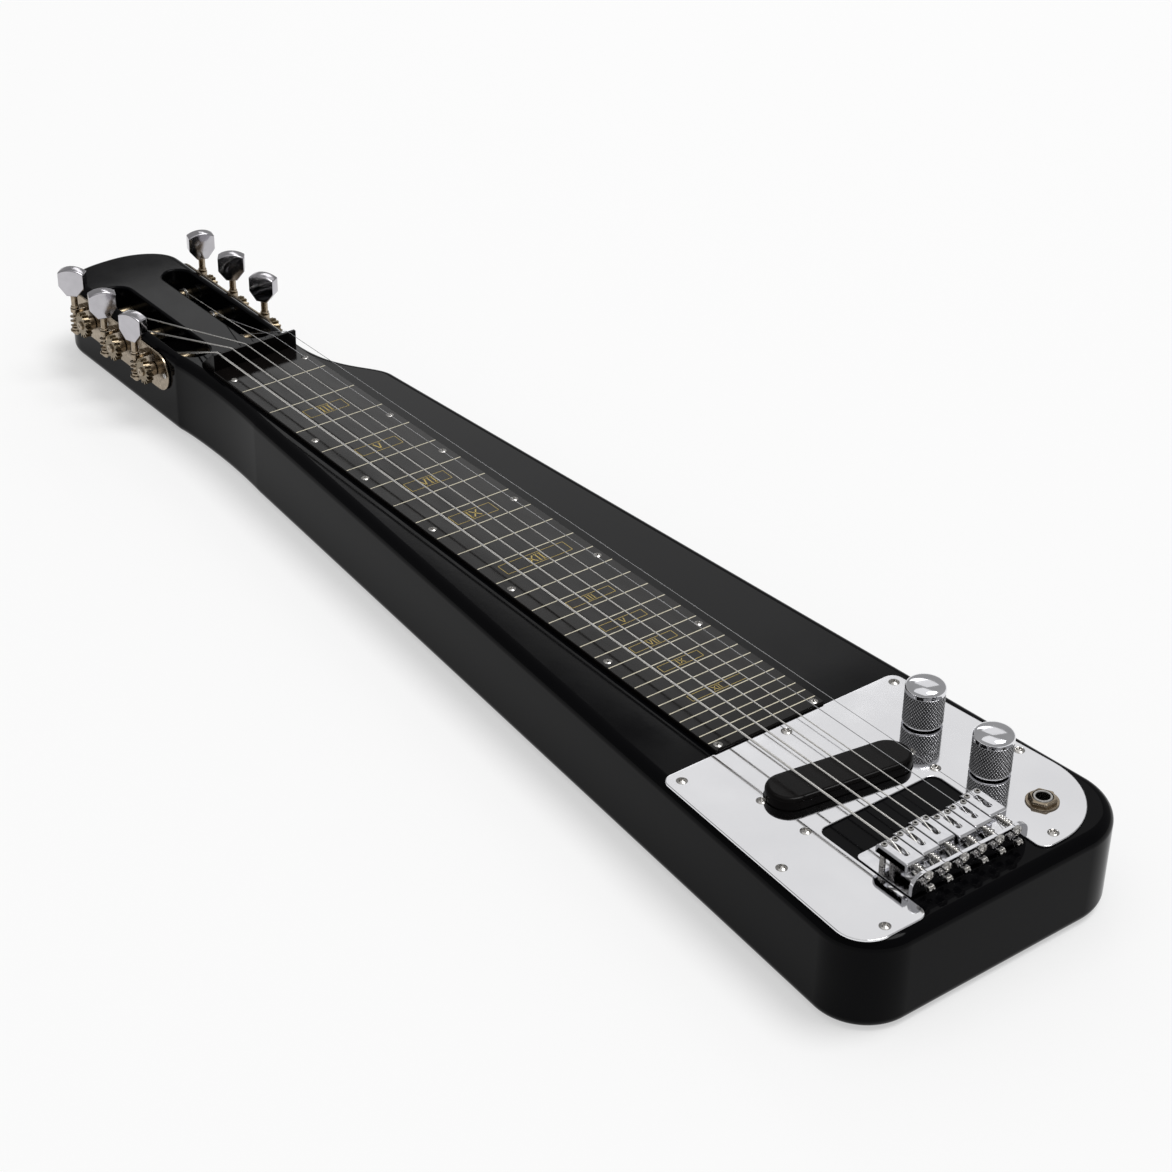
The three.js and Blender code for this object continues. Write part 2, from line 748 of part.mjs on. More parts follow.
// Bridge plate: one bent sheet, its lip pierced by a string hole and a screw hole for each saddle
function makeBridgePlate() {
  const lowY = bridgeCentreY - bridgeHalf;
  const highY = bridgeCentreY + bridgeHalf;
  const lipTop = bodyTop + lipRise;
  const sheet = new THREE.Shape();
  sheet.moveTo(bridgeFrontX, bodyTop);
  sheet.lineTo(bridgeRearX - bendRadius, bodyTop);
  sheet.absarc(bridgeRearX - bendRadius, bodyTop + bendRadius, bendRadius, -Math.PI / 2, 0, false);
  sheet.lineTo(bridgeRearX, lipTop);
  sheet.lineTo(lipFrontX, lipTop);
  sheet.lineTo(lipFrontX, bridgeTop + lipBend);
  sheet.quadraticCurveTo(lipFrontX, bridgeTop, lipFrontX - lipBend, bridgeTop);
  sheet.lineTo(bridgeFrontX, bridgeTop);
  const plan = roundedRectangle(bridgeFrontX, bridgeRearX + overrun + bridgeCornerRadius, lowY, highY,
    bridgeCornerRadius);
  const face = roundedRectangle(lowY, highY, bodyTop - overrun - lipCornerRadius, lipTop, lipCornerRadius);
  const bent = common([
    profileAlongY(sheet, lowY, highY),
    slab(plan, bodyTop - overrun, lipTop + overrun),
    profileAlongX(face, bridgeFrontX - overrun, bridgeRearX + overrun),
  ]);
  const holes = strings.flatMap((number) => [
    rodX(stringRadius(number) + fit, lipFrontX - overrun, bridgeRearX + overrun, bridgeY(number), lipHoleZ,
      smallFacets),
    rodX(lengthScrewRadius + fit, lipFrontX - overrun, bridgeRearX + overrun, bridgeY(number), lengthScrewZ,
      smallFacets),
  ]);
  return cut(bent, holes);
}

// Saddle: a bent strip with a long slot for the string, on two height screws that stand on the bridge plate
function makeSaddle(number) {
  const x = saddleXs[number];
  const y = bridgeY(number);
  const front = x - saddleNose;
  const rear = x + saddleTail;
  const under = saddleTop - saddleSheet;
  const strip = new THREE.Shape();
  strip.moveTo(front, saddleTop - saddleNoseDrop);
  strip.lineTo(front + saddleSheet, saddleTop - saddleNoseDrop);
  strip.lineTo(front + saddleSheet, under);
  strip.lineTo(rear - saddleSheet, under);
  strip.lineTo(rear - saddleSheet, saddleTop - saddleRearDrop);
  strip.lineTo(rear, saddleTop - saddleRearDrop);
  strip.lineTo(rear, saddleTop);
  strip.lineTo(front + saddleNoseRound, saddleTop);
  strip.quadraticCurveTo(front, saddleTop, front, saddleTop - saddleNoseRound);
  const low = y - saddleWidth / 2;
  const high = y + saddleWidth / 2;
  const slotHalf = saddleSlotWidth / 2;
  const slot = block(x + saddleSlotStart, x + saddleSlotEnd, y - slotHalf, y + slotHalf, under - overrun,
    saddleTop + overrun);
  const holeFrom = rear - saddleSheet - overrun;
  const screwHole = rodX(lengthScrewRadius + fit, holeFrom, rear + overrun, y, lengthScrewZ, smallFacets);
  const legTop = saddleTop + heightScrewProud;
  const leg = (offset) => rodZ(heightScrewRadius, x, y + offset, bridgeTop + fit, legTop, smallFacets);
  const legs = [leg(-heightScrewSpread), leg(heightScrewSpread)];
  return join([cut(profileAlongY(strip, low, high), [slot, screwHole]), ...legs]);
}

function makeLengthScrew(number) {
  const y = bridgeY(number);
  const tip = saddleXs[number] + saddleTail - lengthScrewReach;
  const headX = bridgeRearX + fit;
  const headEndX = headX + lengthScrewHeadLength;
  const head = rodX(lengthScrewHeadRadius, headX, headEndX, y, lengthScrewZ, smallFacets);
  return join([rodX(lengthScrewRadius, tip, headX + fit, y, lengthScrewZ, smallFacets), head]);
}

// Coil spring round each length screw, between the saddle and the lip
function springRoute(number) {
  const coilRadius = lengthScrewRadius + fit + springWireRadius;
  const stub = 2 * springWireRadius;
  const from = saddleXs[number] + saddleTail + fit + springWireRadius;
  const to = lipFrontX - fit - springWireRadius;
  const curls = Math.floor((to - from) / springPitchLeast);
  const steps = curls * curlSteps;
  const route = [];
  for (let step = 0; step <= steps; step += 1) {
    const angle = (2 * Math.PI * step) / curlSteps;
    const x = from + ((to - from) * step) / steps;
    route.push(new THREE.Vector3(
      x,
      bridgeY(number) + coilRadius * Math.cos(angle),
      lengthScrewZ + coilRadius * Math.sin(angle),
    ));
  }
  const ends = [route[0], route[route.length - 1]];
  route.unshift(ends[0].clone().add(new THREE.Vector3(0, 0, -stub)));
  route.push(ends[1].clone().add(new THREE.Vector3(0, 0, stub)));
  return route;
}

function makeSpring(number) {
  return wire(springRoute(number), springWireRadius, curlFacets);
}

// String: from its ball end through the lip, up through the saddle, over the nut and round its post
function stringRoute(number) {
  const radius = stringRadius(number);
  const side = sideOf(number);
  const endY = bridgeY(number);
  const coilRadius = postRadius + fit + radius;
  const landingY = side * windingYs[orderOf(number)];
  const pitch = 2 * radius + windingGap;
  const saddlePoint = new THREE.Vector3(saddleXs[number] + saddleSlotStart, endY, saddleTop + fit + radius);
  const nutPoint = new THREE.Vector3(nutBackX(number), nutY(number), nutStringZ);
  const reach = new THREE.Vector2(nutPoint.x - postX(number), nutPoint.z - postRise);
  const landing = reach.angle() + Math.acos(coilRadius / reach.length());
  const route = [
    new THREE.Vector3(bridgeRearX + ballGap + ballRadius, endY, lipHoleZ),
    new THREE.Vector3(lipFrontX - lipBend, endY, lipHoleZ),
    saddlePoint,
    nutPoint,
  ];
  const steps = Math.round(windingTurns * loopSteps);
  for (let step = 0; step <= steps; step += 1) {
    const angle = landing + (2 * Math.PI * step) / loopSteps;
    route.push(new THREE.Vector3(
      postX(number) + coilRadius * Math.cos(angle),
      landingY + (side * pitch * step) / loopSteps,
      postRise + coilRadius * Math.sin(angle),
    ));
  }
  const finish = landing + 2 * Math.PI * windingTurns;
  const away = new THREE.Vector3(-Math.sin(finish), 0, Math.cos(finish));
  route.push(route[route.length - 1].clone().addScaledVector(away, windingTail));
  return route;
}

function makeString(number) {
  const ballX = bridgeRearX + ballGap + ballRadius;
  const y = bridgeY(number);
  const half = ballLength / 2;
  const ball = rodY(ballRadius, ballX, y - half, y + half, lipHoleZ, smallFacets);
  return join([wire(stringRoute(number), stringRadius(number), wireFacets), ball]);
}

// Tuner plate: one long plate on the side of the head, with a pair of ears for each worm
function makeTunerPlate(side) {
  const numbers = strings.filter((number) => sideOf(number) === side);
  const lowX = Math.min(...numbers.map(keyX)) - tunerPlateEnd;
  const highX = Math.max(...numbers.map(postX)) + tunerPlateEnd;
  const inner = side * tunerPlateY;
  const outer = side * tunerFaceY;
  const strip = stadium(highX - lowX, 2 * tunerPlateHalfHeight);
  const plate = profileAlongY(strip, Math.min(inner, outer), Math.max(inner, outer));
  plate.translate((lowX + highX) / 2, 0, postRise);
  const middle = side * (tunerFaceY - tunerPlateThickness / 2);
  const axis = side * wormAxisY;
  const ears = numbers.flatMap((number) => [-1, 1].flatMap((end) => {
    const near = postRise + (end * earGap) / 2;
    const far = near + end * earThickness;
    const low = Math.min(near, far);
    const high = Math.max(near, far);
    const x = keyX(number);
    return [
      block(x - earHalf, x + earHalf, Math.min(middle, axis), Math.max(middle, axis), low, high),
      rodZ(earHalf, x, axis, low, high, smallFacets),
    ];
  }));
  const shaftHoles = numbers.map((number) => rodZ(shaftRadius + fit, keyX(number), axis,
    postRise - tunerPlateHalfHeight, postRise + tunerPlateHalfHeight, smallFacets));
  const postHoles = numbers.map((number) => rodY(postRadius + fit, postX(number), side * headHalf,
    side * (tunerFaceY + overrun), postRise, smallFacets));
  return cut(join([plate, ...ears]), [...shaftHoles, ...postHoles]);
}

// Worm and shaft in one skin. A slice of a single-start worm is one outline at every height, turned once
// per lead: the thread's tip, its two flanks and the core. It runs out into the round shaft at both ends.
function wormSlice(turn, height, tipRadius) {
  const tip = threadTipShare * Math.PI;
  const root = threadRootShare * Math.PI;
  const rest = (2 * Math.PI - 2 * root) / coreFacets;
  const outline = [[tipRadius, -tip], [tipRadius, 0], [tipRadius, tip]];
  for (let facet = 0; facet <= coreFacets; facet += 1) {
    outline.push([shaftRadius, root + facet * rest]);
  }
  return outline.map(([radius, angle]) => new THREE.Vector3(
    radius * Math.cos(angle + 2 * Math.PI * turn),
    radius * Math.sin(angle + 2 * Math.PI * turn),
    height,
  ));
}

function wormShaft(low, high) {
  const steps = Math.round(wormTurns * threadSteps);
  const half = (wormTurns / 2) * lead;
  const rings = [
    wormSlice(-wormTurns / 2, low, shaftRadius),
    wormSlice(-wormTurns / 2, postRise - half - threadRunOut, shaftRadius),
  ];
  for (let step = 0; step <= steps; step += 1) {
    const turn = (wormTurns * step) / steps - wormTurns / 2;
    rings.push(wormSlice(turn, postRise + lead * turn, threadTipRadius));
  }
  rings.push(wormSlice(wormTurns / 2, postRise + half + threadRunOut, shaftRadius));
  rings.push(wormSlice(wormTurns / 2, high, shaftRadius));
  return loft(rings);
}

function tunerButton() {
  const neck = buttonNeck / 2;
  const half = buttonWidth / 2;
  const shoulder = buttonShoulderShare * buttonHeight;
  const topHalf = buttonTopShare * half;
  const topEdge = buttonHeight - buttonCrown;
  const outline = new THREE.Shape();
  outline.moveTo(-neck, 0);
  outline.lineTo(neck, 0);
  outline.quadraticCurveTo(half, shoulder / 2, half, shoulder);
  outline.lineTo(topHalf, topEdge);
  outline.quadraticCurveTo(0, buttonHeight + buttonCrown, -topHalf, topEdge);
  outline.lineTo(-half, shoulder);
  outline.quadraticCurveTo(-half, shoulder / 2, -neck, 0);
  const button = softSlab(outline, -buttonThickness / 2, buttonThickness / 2, buttonEdge, 1, buttonFacets);
  return button.rotateX(Math.PI / 2);
}

function makeKey(number) {
  const ear = earGap / 2 + earThickness;
  const low = postRise - ear - fit - collarHeight;
  const high = postRise + ear + fit + collarHeight;
  const shaft = wormShaft(low - shaftEnd, buttonBottomZ + buttonSeat);
  const collars = [
    rodZ(collarRadius, 0, 0, low, low + collarHeight, smallFacets),
    rodZ(collarRadius, 0, 0, high - collarHeight, high, smallFacets),
  ];
  const button = tunerButton().rotateZ(keyAngles[number]).translate(0, 0, buttonBottomZ);
  return join([shaft, ...collars, button]).translate(keyX(number), sideOf(number) * wormAxisY, 0);
}

function makePost(number) {
  const side = sideOf(number);
  const x = postX(number);
  const shoulder = side * (tunerFaceY + fit);
  const neckEnd = side * (wormAxisY + gearWidth / 2 - fit);
  return join([
    rodY(postRadius, x, side * (slotInnerY - postReach), shoulder, postRise, roundFacets),
    rodY(postNeckRadius, x, shoulder - side * overrun, neckEnd, postRise, smallFacets),
  ]);
}

// Wheel: teeth slanted to the worm's lead, standing half a tooth off its thread, with a hub and a cap screw
function makeGear(number) {
  const side = sideOf(number);
  const step = (2 * Math.PI) / gearTeeth;
  const turnPerLength = leadSlope / gearPitchRadius;
  const ringAt = (offset) => {
    const ring = [];
    for (let tooth = 0; tooth < gearTeeth; tooth += 1) {
      const centre = Math.PI + (tooth + toothPhaseShare) * step - offset * turnPerLength;
      const rootHalf = (toothRootShare * step) / 2;
      const tipHalf = (toothTipShare * step) / 2;
      const corners = [
        [gearRootRadius, -rootHalf],
        [gearTipRadius, -tipHalf],
        [gearTipRadius, tipHalf],
        [gearRootRadius, rootHalf],
      ];
      corners.forEach(([radius, turn]) => ring.push(new THREE.Vector3(
        radius * Math.cos(centre + turn),
        offset,
        radius * Math.sin(centre + turn),
      )));
    }
    return ring;
  };
  const wheel = loft([ringAt(gearWidth / 2), ringAt(-gearWidth / 2)]);
  wheel.translate(postX(number), side * wormAxisY, postRise);
  const inner = side * (tunerFaceY + 2 * fit);
  const outer = side * (wormAxisY + gearWidth / 2);
  const x = postX(number);
  const hub = rodY(gearHubRadius, x, inner, side * wormAxisY, postRise, smallFacets);
  const capEnd = outer + side * gearCapHeight;
  const cap = rodY(gearCapRadius, x, side * wormAxisY, capEnd, postRise, smallFacets);
  const bore = rodY(postNeckRadius + fit, x, inner - side * overrun, outer, postRise, smallFacets);
  return cut(join([wheel, hub, cap]), [bore]);
}

const guitar = new THREE.Group();

function add(name, geometry, finish) {
  const mesh = new THREE.Mesh(geometry, new THREE.MeshStandardMaterial(finish));
  mesh.name = name;
  guitar.add(mesh);
}

add('body', makeBody(), finishes.lacquer);
add('fretboard', makeFretboard(), finishes.lacquer);
add('nut', makeNut(), finishes.plastic);
add('control_plate', makeControlPlate(), finishes.chrome);
add('pickup_cover', makePickupCover(), finishes.plastic);
add('pickup_coil', makePickupCoil(), finishes.copper);
add('pickup_base', makePickupBase(), finishes.steel);
controlNames.forEach((name, index) => {
  add(`knob_${name}`, makeKnob(index), finishes.chrome);
  add(`pot_${name}`, makePot(index), finishes.steel);
});
add('jack_socket', makeJackSocket(), finishes.steel);
add('jack_nut', makeJackNut(), finishes.chrome);
add('bridge_plate', makeBridgePlate(), finishes.chrome);
add('tuner_plate_bass', makeTunerPlate(-1), finishes.nickel);
add('tuner_plate_treble', makeTunerPlate(1), finishes.nickel);
for (const number of strings) {
  const label = number + 1;
  add(`saddle_${label}`, makeSaddle(number), finishes.chrome);
  add(`length_screw_${label}`, makeLengthScrew(number), finishes.steel);
  add(`spring_${label}`, makeSpring(number), finishes.steel);
  add(`string_${label}`, makeString(number), finishes.steel);
  add(`tuner_key_${label}`, makeKey(number), finishes.chrome);
  add(`string_post_${label}`, makePost(number), finishes.nickel);
  add(`tuner_gear_${label}`, makeGear(number), finishes.brass);
}

const halfLoop = loopSteps / 2;
const halfCurl = curlSteps / 2;
const windingGaps = strings.map((number) => leastGap(stringRoute(number), stringRadius(number), halfLoop));
const springGaps = strings.map((number) => leastGap(springRoute(number), springWireRadius, halfCurl));
console.log('Least gap of a string winding to itself, mm:', Math.min(...windingGaps).toFixed(2));
console.log('Least gap of a spring to itself, mm:', Math.min(...springGaps).toFixed(2));

export default guitar;
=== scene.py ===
import math

import bmesh
import bpy
import numpy as np
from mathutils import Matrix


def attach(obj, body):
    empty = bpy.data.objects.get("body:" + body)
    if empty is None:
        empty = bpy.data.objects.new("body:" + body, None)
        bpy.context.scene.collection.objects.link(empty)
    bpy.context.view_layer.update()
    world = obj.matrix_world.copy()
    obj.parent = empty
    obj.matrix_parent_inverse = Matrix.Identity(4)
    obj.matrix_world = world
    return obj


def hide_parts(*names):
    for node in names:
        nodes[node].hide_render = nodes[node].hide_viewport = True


# Lap steel guitar on a pale floor. Sizes are in millimetres until they reach a mesh.
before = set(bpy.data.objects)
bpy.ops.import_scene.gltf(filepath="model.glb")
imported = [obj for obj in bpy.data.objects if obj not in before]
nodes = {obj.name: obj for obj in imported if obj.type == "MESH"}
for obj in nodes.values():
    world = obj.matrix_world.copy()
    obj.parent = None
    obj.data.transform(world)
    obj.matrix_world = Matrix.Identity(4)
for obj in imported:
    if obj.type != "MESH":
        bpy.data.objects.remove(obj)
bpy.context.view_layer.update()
mm = 0.001
fit = 0.3  # clearance that the CAD leaves round what is seated or turns
overrun = 2  # how far a cutter stands out of what it cuts
fullTurn = 2 * math.pi
mixColours, mixResult = (6, 7), 2  # sockets of a Mix node that blends colours
print("frame loaded")


def linear(hexColour):  # sRGB hex to linear light
    parts = [int(hexColour[place:place + 2], 16) / 255 for place in (1, 3, 5)]
    return tuple(p / 12.92 if p <= 0.04045 else ((p + 0.055) / 1.055) ** 2.4 for p in parts) + (1.0,)


def perMetre(size):  # texture scale of a pattern whose features are this many millimetres apart
    return 1 / (size * mm)


def addNode(tree, kind, settings=None, values=None, links=None):
    node = tree.nodes.new(kind)
    for name, value in (settings or {}).items():
        setattr(node, name, value)
    for name, value in (values or {}).items():
        node.inputs[name].default_value = value
    for name, source in (links or {}).items():
        tree.links.new(source, node.inputs[name])
    return node


def newFinish(name, shaderValues):
    material = bpy.data.materials.new(name)
    material.use_nodes = True
    tree = material.node_tree
    tree.nodes.clear()
    shader = addNode(tree, "ShaderNodeBsdfPrincipled", values=shaderValues)
    addNode(tree, "ShaderNodeOutputMaterial", links={"Surface": shader.outputs["BSDF"]})
    coordinates = addNode(tree, "ShaderNodeTexCoord")
    return material, tree, shader, coordinates


# What a finish follows, each a source and two values: colour from dark to light, roughness from smooth to
# rough, and a bump's strength and depth
def dressFinish(tree, shader, shade=None, haze=None, grain=None, hazeRange=(0, 1)):
    if shade:
        source, *shades = shade
        colours = dict(zip(mixColours, map(linear, shades)))
        blend = addNode(tree, "ShaderNodeMix", {"data_type": "RGBA"}, colours, {"Factor": source})
        tree.links.new(blend.outputs[mixResult], shader.inputs["Base Color"])
    if haze:
        source, smooth, rough = haze
        spread = addNode(tree, "ShaderNodeMapRange", values={
            "From Min": hazeRange[0], "From Max": hazeRange[1], "To Min": smooth, "To Max": rough
        }, links={"Value": source})
        tree.links.new(spread.outputs["Result"], shader.inputs["Roughness"])
    if grain:
        source, strength, depth = grain
        relief = addNode(tree, "ShaderNodeBump", values={"Strength": strength, "Distance": depth * mm},
                         links={"Height": source})
        tree.links.new(relief.outputs["Normal"], shader.inputs["Normal"])


# A finish from two shades, the sizes of the noise behind shade, haze and grain, two roughnesses, and the
# grain's strength and depth
def noisyFinish(name, shades, sizes, roughness, relief, stretch=(1, 1, 1), **fixed):
    material, tree, shader, coordinates = newFinish(name, fixed)
    place = coordinates.outputs["Object"]
    drawn = addNode(tree, "ShaderNodeMapping", values={"Scale": stretch},
                    links={"Vector": place}).outputs["Vector"]
    cloud, haze, grain = [
        addNode(tree, "ShaderNodeTexNoise", values={"Scale": perMetre(size), "Detail": detail},
                links={"Vector": source}).outputs["Fac"]
        for size, detail, source in zip(sizes, (4.0, 5.0, 3.0), (place, drawn, drawn))]
    dressFinish(tree, shader, (cloud, *shades), (haze, *roughness), (grain, *relief), (0.3, 0.7))
    return material


# Sprayed and buffed black lacquer: deep black, clear gloss, a faint orange peel and a wiped haze
lacquer = noisyFinish("buffedBlackLacquer", ("#040405", "#08080a"), (60, 35, 3.5), (0.05, 0.11),
                      (0.06, 0.05), IOR=1.13)

# Phenolic sheet under clear lacquer: black with a brown cast, glossier than wood, a fine sheet grain
boardSheet = noisyFinish("lacqueredBlackSheet", ("#0a0909", "#141110"), (18, 9, 1.2), (0.09, 0.17),
                         (0.08, 0.03), (0.25, 1, 1), IOR=1.2)

# Screen-printed ink: cream, matt, thin enough to let the black through in places
inkGrain = (3, 1.5, 0.6), (0.4, 0.6), (0.15, 0.02)
fretInk = noisyFinish("creamPrintInk", ("#c0b9a0", "#eae4cf"), *inkGrain)
markerInk = noisyFinish("yellowPrintInk", ("#8f7c3c", "#cdb56a"), *inkGrain)

# Polished chrome plate on sheet: near mirror, with soft wipe marks and a very slight roll of the sheet
chromeSheet = noisyFinish("polishedChromeSheet", ("#dcdcdf", "#e9e9eb"), (30, 22, 26), (0.035, 0.09),
                          (0.05, 0.1), Metallic=1.0)

# Bright chrome on small turned and bent parts: mirror with fine polishing lines
chromePart = noisyFinish("brightChrome", ("#d4d4d8", "#ededf0"), (4, 2.5, 0.7), (0.04, 0.12),
                         (0.06, 0.02), Metallic=1.0)

# Chrome on the cast tuner buttons: greyer than on the turned parts, a painted darkening for the dark guitar
# body that they mirror, and softer
chromeButton = noisyFinish("softButtonChrome", ("#aeacb0", "#c6c4c8"), (7, 4, 2.5), (0.08, 0.2),
                           (0.08, 0.04), Metallic=1.0)

# Nickel plate that has warmed with age: soft mirror with a straw cast and dull patches
warmNickel = noisyFinish("agedNickel", ("#75695a", "#b8aa96"), (2.2, 1.6, 0.5), (0.14, 0.32),
                         (0.12, 0.03), Metallic=1.0)

# Cut brass wheels with a dark plate left in the tooth gaps
darkBrass = noisyFinish("darkPlatedBrass", ("#4f473b", "#a2937a"), (1.4, 1.0, 0.4), (0.2, 0.4),
                        (0.15, 0.03), Metallic=1.0)

# Plated machine screws: bright rims, slightly pitted
screwSteel = noisyFinish("platedScrewSteel", ("#8d8a86", "#d8d6d3"), (1.2, 0.9, 0.25), (0.12, 0.3),
                         (0.1, 0.02), Metallic=1.0)

# Moulded black ABS: not as deep as lacquer, soft gloss, a faint mould texture
blackPlastic = noisyFinish("mouldedBlackPlastic", ("#070606", "#0e0c0c"), (9, 5, 0.5), (0.14, 0.24),
                           (0.12, 0.015), IOR=1.17)

# Drawn plain steel string wire, with fine draw lines along it
plainWire = noisyFinish("drawnSteelWire", ("#b4b4b6", "#dedee0"), (6, 2, 0.2), (0.15, 0.28),
                        (0.08, 0.01), (0.1, 1, 1), Metallic=1.0)

# Rolled steel cans and brackets under the plate
dullSteel = noisyFinish("rolledZincSteel", ("#7c7b78", "#a8a7a3"), (5, 2, 0.6), (0.3, 0.45),
                        (0.2, 0.03), Metallic=1.0)


# Nickel wrap on a wound string: ridges round it, drawn 0.5 mm apart because 0.25 mm is too fine to show.
# A wave texture's bands stand about 1 / (pi scale) apart, here in millimetres along the string.
def woundFinish():
    look = {"shade": "#e2e0dc", "pitch": 0.5, "wobble": 0.3, "wear": 8, "haze": (0.2, 0.36),
            "ridges": (0.5, 0.08)}
    material, tree, shader, coordinates = newFinish("nickelWrap", {
        "Base Color": linear(look["shade"]), "Metallic": 1.0})
    wraps = addNode(tree, "ShaderNodeTexWave", {"bands_direction": "X"},
                    {"Scale": 1 / look["pitch"] / math.pi, "Distortion": look["wobble"]},
                    {"Vector": coordinates.outputs["UV"]}).outputs["Fac"]
    wear = addNode(tree, "ShaderNodeTexNoise", values={"Scale": perMetre(look["wear"])},
                   links={"Vector": coordinates.outputs["Object"]}).outputs["Fac"]
    dressFinish(tree, shader, haze=(wear, *look["haze"]), grain=(wraps, *look["ridges"]))
    return material


# Chrome over rolled knurling: bright on the ridges and darkened in the grooves as painted shade, which u
# tells apart
def knurlFinish():
    look = {"shades": ("#2c2c2e", "#f2f2f4"), "wear": 1.5, "haze": (0.08, 0.22)}
    material, tree, shader, coordinates = newFinish("knurledChrome", {"Metallic": 1.0})
    split = addNode(tree, "ShaderNodeSeparateXYZ", links={"Vector": coordinates.outputs["UV"]})
    wear = addNode(tree, "ShaderNodeTexNoise", values={"Scale": perMetre(look["wear"])},
                   links={"Vector": coordinates.outputs["Object"]}).outputs["Fac"]
    dressFinish(tree, shader, (split.outputs["X"], *look["shades"]), (wear, *look["haze"]))
    return material


# Enamelled copper on the coil: fine turns stacked along Z, drawn 0.4 mm apart so that they show, each
# darker in the valley beside it as painted shade
def coilFinish():
    look = {"shades": ("#5a2a14", "#a45b33"), "pitch": 0.4, "wobble": 0.6, "ridges": (0.4, 0.05)}
    material, tree, shader, coordinates = newFinish("enamelledCopperWire", {
        "Metallic": 0.7, "Roughness": 0.35})
    turns = addNode(tree, "ShaderNodeTexWave", {"bands_direction": "Z"},
                    {"Scale": perMetre(look["pitch"]) / math.pi, "Distortion": look["wobble"]},
                    {"Vector": coordinates.outputs["Object"]}).outputs["Fac"]
    # Painted shade: the colour runs with the turns' bump, dark in the valleys between the turns
    dressFinish(tree, shader, (turns, *look["shades"]), grain=(turns, *look["ridges"]))
    return material


nickelWrap = woundFinish()
chromeKnurl = knurlFinish()
coilWire = coilFinish()
print("finishes made")


# Quads between neighbouring rows and columns of a grid of points
def gridFaces(rows, columns, wrapRows=False):
    row = np.arange(rows if wrapRows else rows - 1)[:, None]
    column = np.arange(columns)[None, :]
    after = (column + 1) % columns
    low, high = row * columns, ((row + 1) % rows) * columns
    return np.stack([low + column, low + after, high + after, high + column], -1).reshape(-1, 4)


# One mesh from points and groups of faces, each group with one count of corners
def makePiece(name, points, faces, finish, slot, body="guitar", stands=(), along=None, sharp=35):
    groups = [np.atleast_2d(np.asarray(group, dtype=np.int32)) for group in faces]
    corners = np.concatenate([group.ravel() for group in groups])
    counts = np.concatenate([np.full(len(group), group.shape[1]) for group in groups])
    mesh = bpy.data.meshes.new(name)
    mesh.vertices.add(len(points))
    mesh.vertices.foreach_set("co", (points * mm).ravel())
    mesh.loops.add(len(corners))
    mesh.loops.foreach_set("vertex_index", corners)
    mesh.polygons.add(len(counts))
    mesh.polygons.foreach_set("loop_start", np.concatenate([[0], np.cumsum(counts)[:-1]]))
    mesh.update(calc_edges=True)
    if along is not None:
        layer = mesh.uv_layers.new(name="alongIt")
        layer.data.foreach_set("uv", along[corners].ravel())
    tidyMesh(mesh, sharp)
    return placePiece(name, mesh, finish, body, stands)


# Doubles merged, faces turned outwards or nearly flat neighbours joined, smooth but for sharp edges
def tidyMesh(mesh, sharp, merge=0.0005, flat=None):
    form = bmesh.new()
    form.from_mesh(mesh)
    bmesh.ops.remove_doubles(form, verts=form.verts, dist=merge * mm)
    if flat:
        bmesh.ops.dissolve_limit(form, angle_limit=math.radians(flat), verts=form.verts, edges=form.edges)
    else:
        bmesh.ops.recalc_face_normals(form, faces=form.faces)
    form.to_mesh(mesh)
    form.free()
    smoothed(mesh, sharp)


def smoothed(mesh, sharp):
    mesh.shade_smooth()
    mesh.set_sharp_from_angle(angle=math.radians(sharp))


def addObject(name, data, place=(0, 0, 0), turn=(0, 0, 0)):
    thing = bpy.data.objects.new(name, data)
    bpy.context.scene.collection.objects.link(thing)
    thing.location, thing.rotation_euler = place, turn
    return thing


def placePiece(name, mesh, finish, body, stands):
    piece = addObject(name, mesh)
    mesh.materials.append(finish)
    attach(piece, body)
    if stands:
        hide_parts(*stands)
    return piece


# Many grids put in one mesh: each part is its points and faces
def joined(parts):
    faces, start = [], 0
    for points, groups in parts:
        faces += [np.atleast_2d(group) + start for group in groups]
        start += len(points)
    return np.concatenate([points for points, _ in parts]), faces


# A ring's or collar's outer side, chamfered below and above
def chamfered(radius, low, high, lowEdge, highEdge):
    return [(radius - lowEdge, low), (radius, low + lowEdge), (radius, high - highEdge),
            (radius - highEdge, high)]


def anglesRound(count):
    return np.linspace(0, fullTurn, count, endpoint=False)


# (r cos a, r sin a, z) for every row and column that the three arrays share
def polar(radius, angle, height):
    return np.stack(np.broadcast_arrays(radius * np.cos(angle), radius * np.sin(angle), height), -1)


# A profile of (radius, height) turned round +Z: x = r cos a, y = r sin a
def turned(profile, sectors=48, closed=False):
    radius, height = np.asarray(profile, float).T[..., None]
    points = polar(radius, anglesRound(sectors), height)
    return points.reshape(-1, 3), [gridFaces(len(radius), sectors, closed)]


def rod(radius, low, high, sectors):
    return turned([(0, low), (radius, low), (radius, high), (0, high)], sectors)


def shutSkin(rings):  # rings round +Z joined to one skin, with a point on the axis at each end
    points = np.concatenate([rings[:1] * (0, 0, 1), rings, rings[-1:] * (0, 0, 1)])
    return points.reshape(-1, 3), [gridFaces(len(points), rings.shape[1])]


def unit(vectors):
    return vectors / np.linalg.norm(vectors, axis=-1, keepdims=True)


# Outward unit normals of a closed outline that runs anticlockwise
def outwardOf(outline):
    on = unit(np.roll(outline, -1, 0) - outline)
    return unit(on + np.roll(on, 1, 0))[:, ::-1] * (1, -1)


# An outline stacked in rows of (inset, height), each row drawn in by its inset, with a cap on each end
def stacked(outline, rows):
    outward = outwardOf(outline)
    inset, height = np.asarray(rows, float).T
    flat = outline[None] - inset[:, None, None] * outward[None]
    points = np.concatenate([flat, np.repeat(height[:, None, None], len(outline), 1)], -1).reshape(-1, 3)
    last = (len(rows) - 1) * len(outline)
    caps = [np.arange(len(outline))[::-1], last + np.arange(len(outline))]
    return points, [gridFaces(len(rows), len(outline)), *caps]


